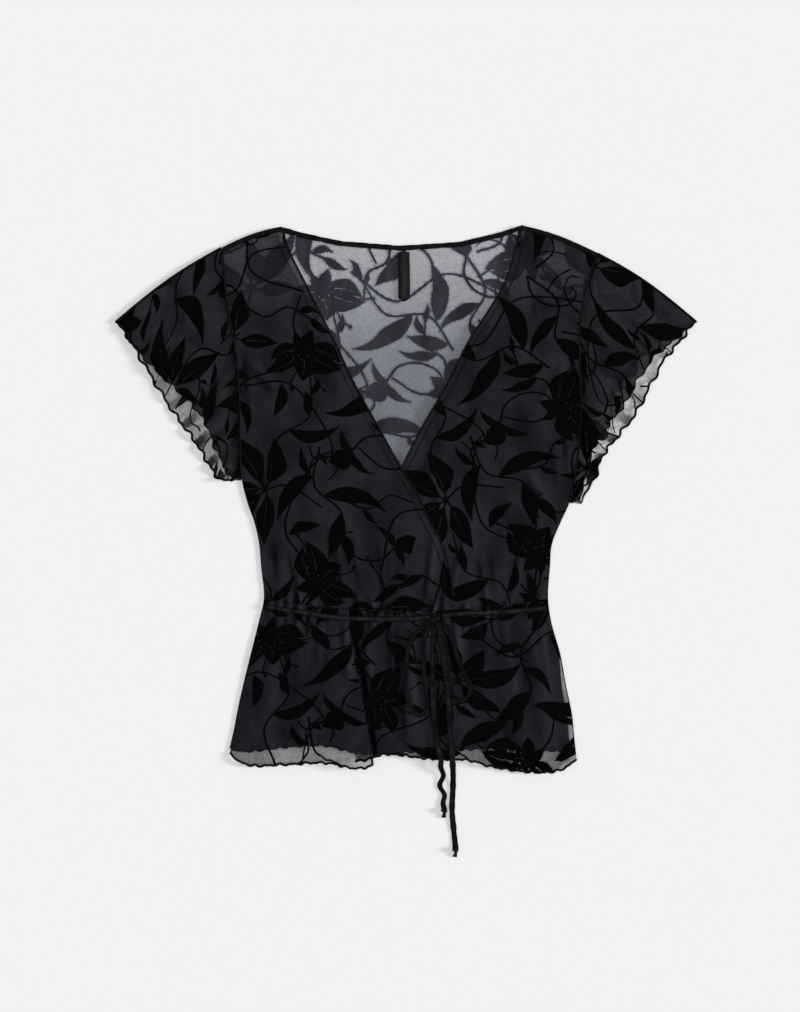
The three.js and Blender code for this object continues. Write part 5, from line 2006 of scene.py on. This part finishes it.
@dataclass
class Trimmings:
    """The neck binding, the blank label, and the seams and stitch lines that show."""

    finishes: Finishes
    binding_run: tuple[float, float, int] = (-128.0, 118.0, 150)
    binding_width: float = 5.2
    binding_thick: float = 0.9
    binding_level: float = 1.7
    label_x: float = -2.5
    label_top: float = 259.5
    label_low: float = 208.0
    label_width: float = 12.4
    label_thick: float = 0.7
    label_level: float = 1.65
    label_points: int = 40
    label_swing: float = 0.6
    label_swing_rate: float = 2.2
    label_arch: float = 0.5
    label_crown: float = 1.1
    label_end: float = 0.93
    label_taper: float = 0.85
    right_edge_top: float = 283.0
    left_edge_top: float = 284.0
    seam_thick: float = 2.0
    seam_height: float = 0.8
    seam_rise: float = 0.3
    armhole_rise: float = 0.4
    side_thick: float = 1.1
    side_inset: float = 0.4
    shoulder_width: float = 5.0
    shoulder_thick: float = 1.4
    waist_thick: float = 0.8
    step: float = 2.0

    def build(self) -> None:
        """Make every trimming."""
        self.neck_binding()
        self.label()
        self.front_edge("front_edge_left", under_front_edge, LAYING.front, 1, self.left_edge_top)
        self.front_edge("front_edge_right", top_front_edge, LAYING.top_front, -1, self.right_edge_top)
        self.body_seams("right", right_edge, *SIDES.rows[0])
        self.body_seams("left", left_edge, *SIDES.rows[1])
        self.shoulder_seam("right", *SHOULDER_SEAMS.rows[0])
        self.shoulder_seam("left", *SHOULDER_SEAMS.rows[1])
        self.waist_seam()

    def line(self, name: str, path: Array, wide: float, thick: float | None = None) -> Piece:
        """A seam or stitch line along a laid path."""
        points, faces = sweep(path, round_section(wide, thick or wide * self.seam_height, 8))
        return dress(make_mesh(name, points, faces, self.finishes.edging), Slot.MESH)

    def neck_binding(self) -> None:
        """The narrow turned binding along the back neckline."""
        x = np.linspace(*self.binding_run)
        y = BACK_TOP.read_straight("x", "y", x) + shoulder_bow(x) - self.binding_width / 2 - SEAM_GAP
        path = np.column_stack([x, y, np.full_like(x, self.binding_level)])
        section = round_section(self.binding_width, self.binding_thick, 10)
        points, faces = sweep(path, section, scale=1 + lumps(x, 0.16, 2.7, 8.3))
        piece = make_mesh("back_neck_binding_tape", points, faces, self.finishes.edging)
        dress(piece, Slot.TIE, "back_neck_binding")

    def label(self) -> None:
        """The blank woven label below the neckline, sewn at its top and loose below."""
        y = np.linspace(self.label_top, self.label_low, self.label_points)
        share = (self.label_top - y) / (self.label_top - self.label_low)
        path = np.column_stack([
            self.label_x + self.label_swing * np.sin(share * self.label_swing_rate),
            y,
            self.label_level + self.label_arch * np.sin(math.pi * share),
        ])
        half, rim = self.label_width / 2, self.label_thick / 2
        section = np.array([
            (half, 0), (half - rim, rim), (0, rim * self.label_crown), (rim - half, rim),
            (-half, 0), (rim - half, -rim), (0, -rim), (half - rim, -rim),
        ])
        points, faces = sweep(path, section, scale=1 - self.label_taper * smooth(share, self.label_end, 1))
        piece = make_mesh("neck_label_satin", points, faces, self.finishes.satin)
        dress(piece, Slot.LABEL, "neck_label")

    def front_edge(self, name: str, edge: Rule, lay: Surface, toward: int, top: float) -> None:
        """The turned edge of a front, and the stitch line that holds it.

        Args:
            name: start of the pieces' names.
            edge: x of the front's edge at each y.
            lay: height of the front.
            toward: 1 or -1, the side on which the front lies.
            top: y at which the edge starts.
        """
        run = edge_run(edge, top, WAIST_Y + 1, self.step)
        for part, inset, thick, rise in FRONT_EDGE_LINES:
            x, y = run[:, 0] + toward * inset, run[:, 1]
            self.line(f"{name}_{part}", np.column_stack([x, y, lay(x, y) + rise]), thick)

    def body_seams(self, name: str, edge: Rule, side: int, top: float,
                   underarm: float) -> None:
        """The armhole and side seams of one side."""
        run = edge_run(edge, top, underarm, self.step)
        height = LAYING.front(run[:, 0], run[:, 1]) + self.armhole_rise
        self.line(f"armhole_seam_{name}", np.column_stack([run, height]), self.seam_thick)
        run = edge_run(edge, underarm, HEM_Y + 6, self.step)
        run[:, 0] -= side * self.side_inset
        x, y = run[:, 0], run[:, 1]
        height = (LAYING.front(x, y) + LAYING.back(x, y)) / 2 + self.seam_rise
        self.line(f"side_seam_{name}", np.column_stack([run, height]), self.side_thick)

    def shoulder_seam(self, name: str, outer_x: float, outer_y: float, inner_x: float,
                      inner_y: float) -> None:
        """The broad seam of one shoulder."""
        run = between((outer_x, outer_y), (inner_x, inner_y), self.step)
        run[:, 1] += shoulder_bow(run[:, 0])
        height = LAYING.front(run[:, 0], run[:, 1]) + self.seam_rise
        path = np.column_stack([run, height])
        self.line(f"shoulder_seam_{name}", path, self.shoulder_width, self.shoulder_thick)

    def waist_seam(self) -> None:
        """The waist seam, which the tie hides for the most part."""
        x = np.linspace(float(right_edge(WAIST_Y)), float(left_edge(WAIST_Y)), 220)
        y = WAIST_Y - waist_drop(x)
        path = np.column_stack([x, y, LAYING.front(x, y) + self.seam_rise])
        self.line("waist_seam", path, self.waist_thick)


@dataclass(frozen=True)
class Studio:
    """Pale surface, even soft light and a camera straight above."""

    pixel: float = 1.05
    image_width: int = 800
    image_height: int = 1012
    centre_column: float = 406.0
    centre_row: float = 499.5
    sensor: float = 24.0
    camera_height: float = 3000.0
    sees_to: float = 20000.0
    floor_size: float = 8000.0
    sky: float = 0.3
    overhead: float = 1.59
    overhead_size: float = 30.0
    side_light: float = 3.0
    side_size: float = 12.0
    side_direction: tuple[float, float, float] = (-0.952, -0.03, -0.3)

    def build(self) -> None:
        """Make the camera, the surface and the lights."""
        self.camera()
        self.floor()
        self.lights()

    def camera(self) -> None:
        """The camera, straight above the middle of the picture."""
        data = bpy.data.cameras.new("camera")
        data.sensor_fit = "VERTICAL"
        data.sensor_height = self.sensor
        data.lens = data.sensor_height * self.camera_height / (self.image_height * self.pixel)
        data.clip_end = self.sees_to * MM
        camera = bpy.data.objects.new("camera", data)
        across = (self.image_width / 2 - self.centre_column) * self.pixel
        up = (self.centre_row - self.image_height / 2) * self.pixel
        camera.location = Vector((across, up, self.camera_height)) * MM
        bpy.context.scene.collection.objects.link(camera)
        bpy.context.scene.camera = camera

    def floor(self) -> None:
        """The surface that the garment lies on."""
        half = self.floor_size / 2
        corners = np.array([(-half, -half, 0), (half, -half, 0), (half, half, 0), (-half, half, 0)])
        make_mesh("floor", corners, [(0, 1, 2, 3)], PaperFinish().make())

    def lights(self) -> None:
        """A faint dome, a broad light overhead and a low one from the wearer's left."""
        scene = bpy.context.scene
        scene.view_settings.view_transform = "Standard"
        world = bpy.data.worlds.new("dome")
        world.use_nodes = True
        background = world.node_tree.nodes["Background"]
        background.inputs["Color"].default_value = (1, 1, 1, 1)
        background.inputs["Strength"].default_value = self.sky
        scene.world = world
        self.broad_light("overhead_light", self.overhead, self.overhead_size, (0, 0, -1))
        self.broad_light("side_light", self.side_light, self.side_size, self.side_direction)

    def broad_light(self, name: str, strength: float, size: float, direction: Spot) -> None:
        """A far light.

        Args:
            name: its name.
            strength: its strength.
            size: how wide it looks from the garment, in degrees.
            direction: where its light goes.
        """
        data = bpy.data.lights.new(name, "SUN")
        data.energy = strength
        data.angle = math.radians(size)
        light = bpy.data.objects.new(name, data)
        light.rotation_euler = Vector(direction).to_track_quat("-Z", "Y").to_euler()
        bpy.context.scene.collection.objects.link(light)


def main() -> None:
    """Build the studio, the ties, the cloth and the trimmings in order."""
    logging.basicConfig(level=logging.INFO, format="%(name)s: %(message)s")
    Studio().build()
    finishes = Finishes()
    Ties(finishes).build()
    LOG.info("ties and bow")
    right_sleeve = Sleeve(finishes, "sleeve_right", -1, RIGHT_SLEEVE_HEM, right_edge, top_y=264.0,
                          underarm_y=20.0, roll_origin=(20, 40), roll_turn=12.0)
    left_sleeve = Sleeve(finishes, "sleeve_left", 1, LEFT_SLEEVE_HEM, left_edge, top_y=258.0,
                         underarm_y=-4.0, roll_origin=(-120, 70), roll_turn=-16.0, under_cover=0.26)
    for maker in (Bodice(finishes), Peplum(finishes), right_sleeve, left_sleeve):
        for panel in maker.build():
            LOG.info("%s: %d faces, %d of velvet", panel.name, len(panel.cut.faces), panel.cut.piled.sum())
    Trimmings(finishes).build()
    LOG.info("binding, label and seams")


if __name__ == "__main__":
    main()
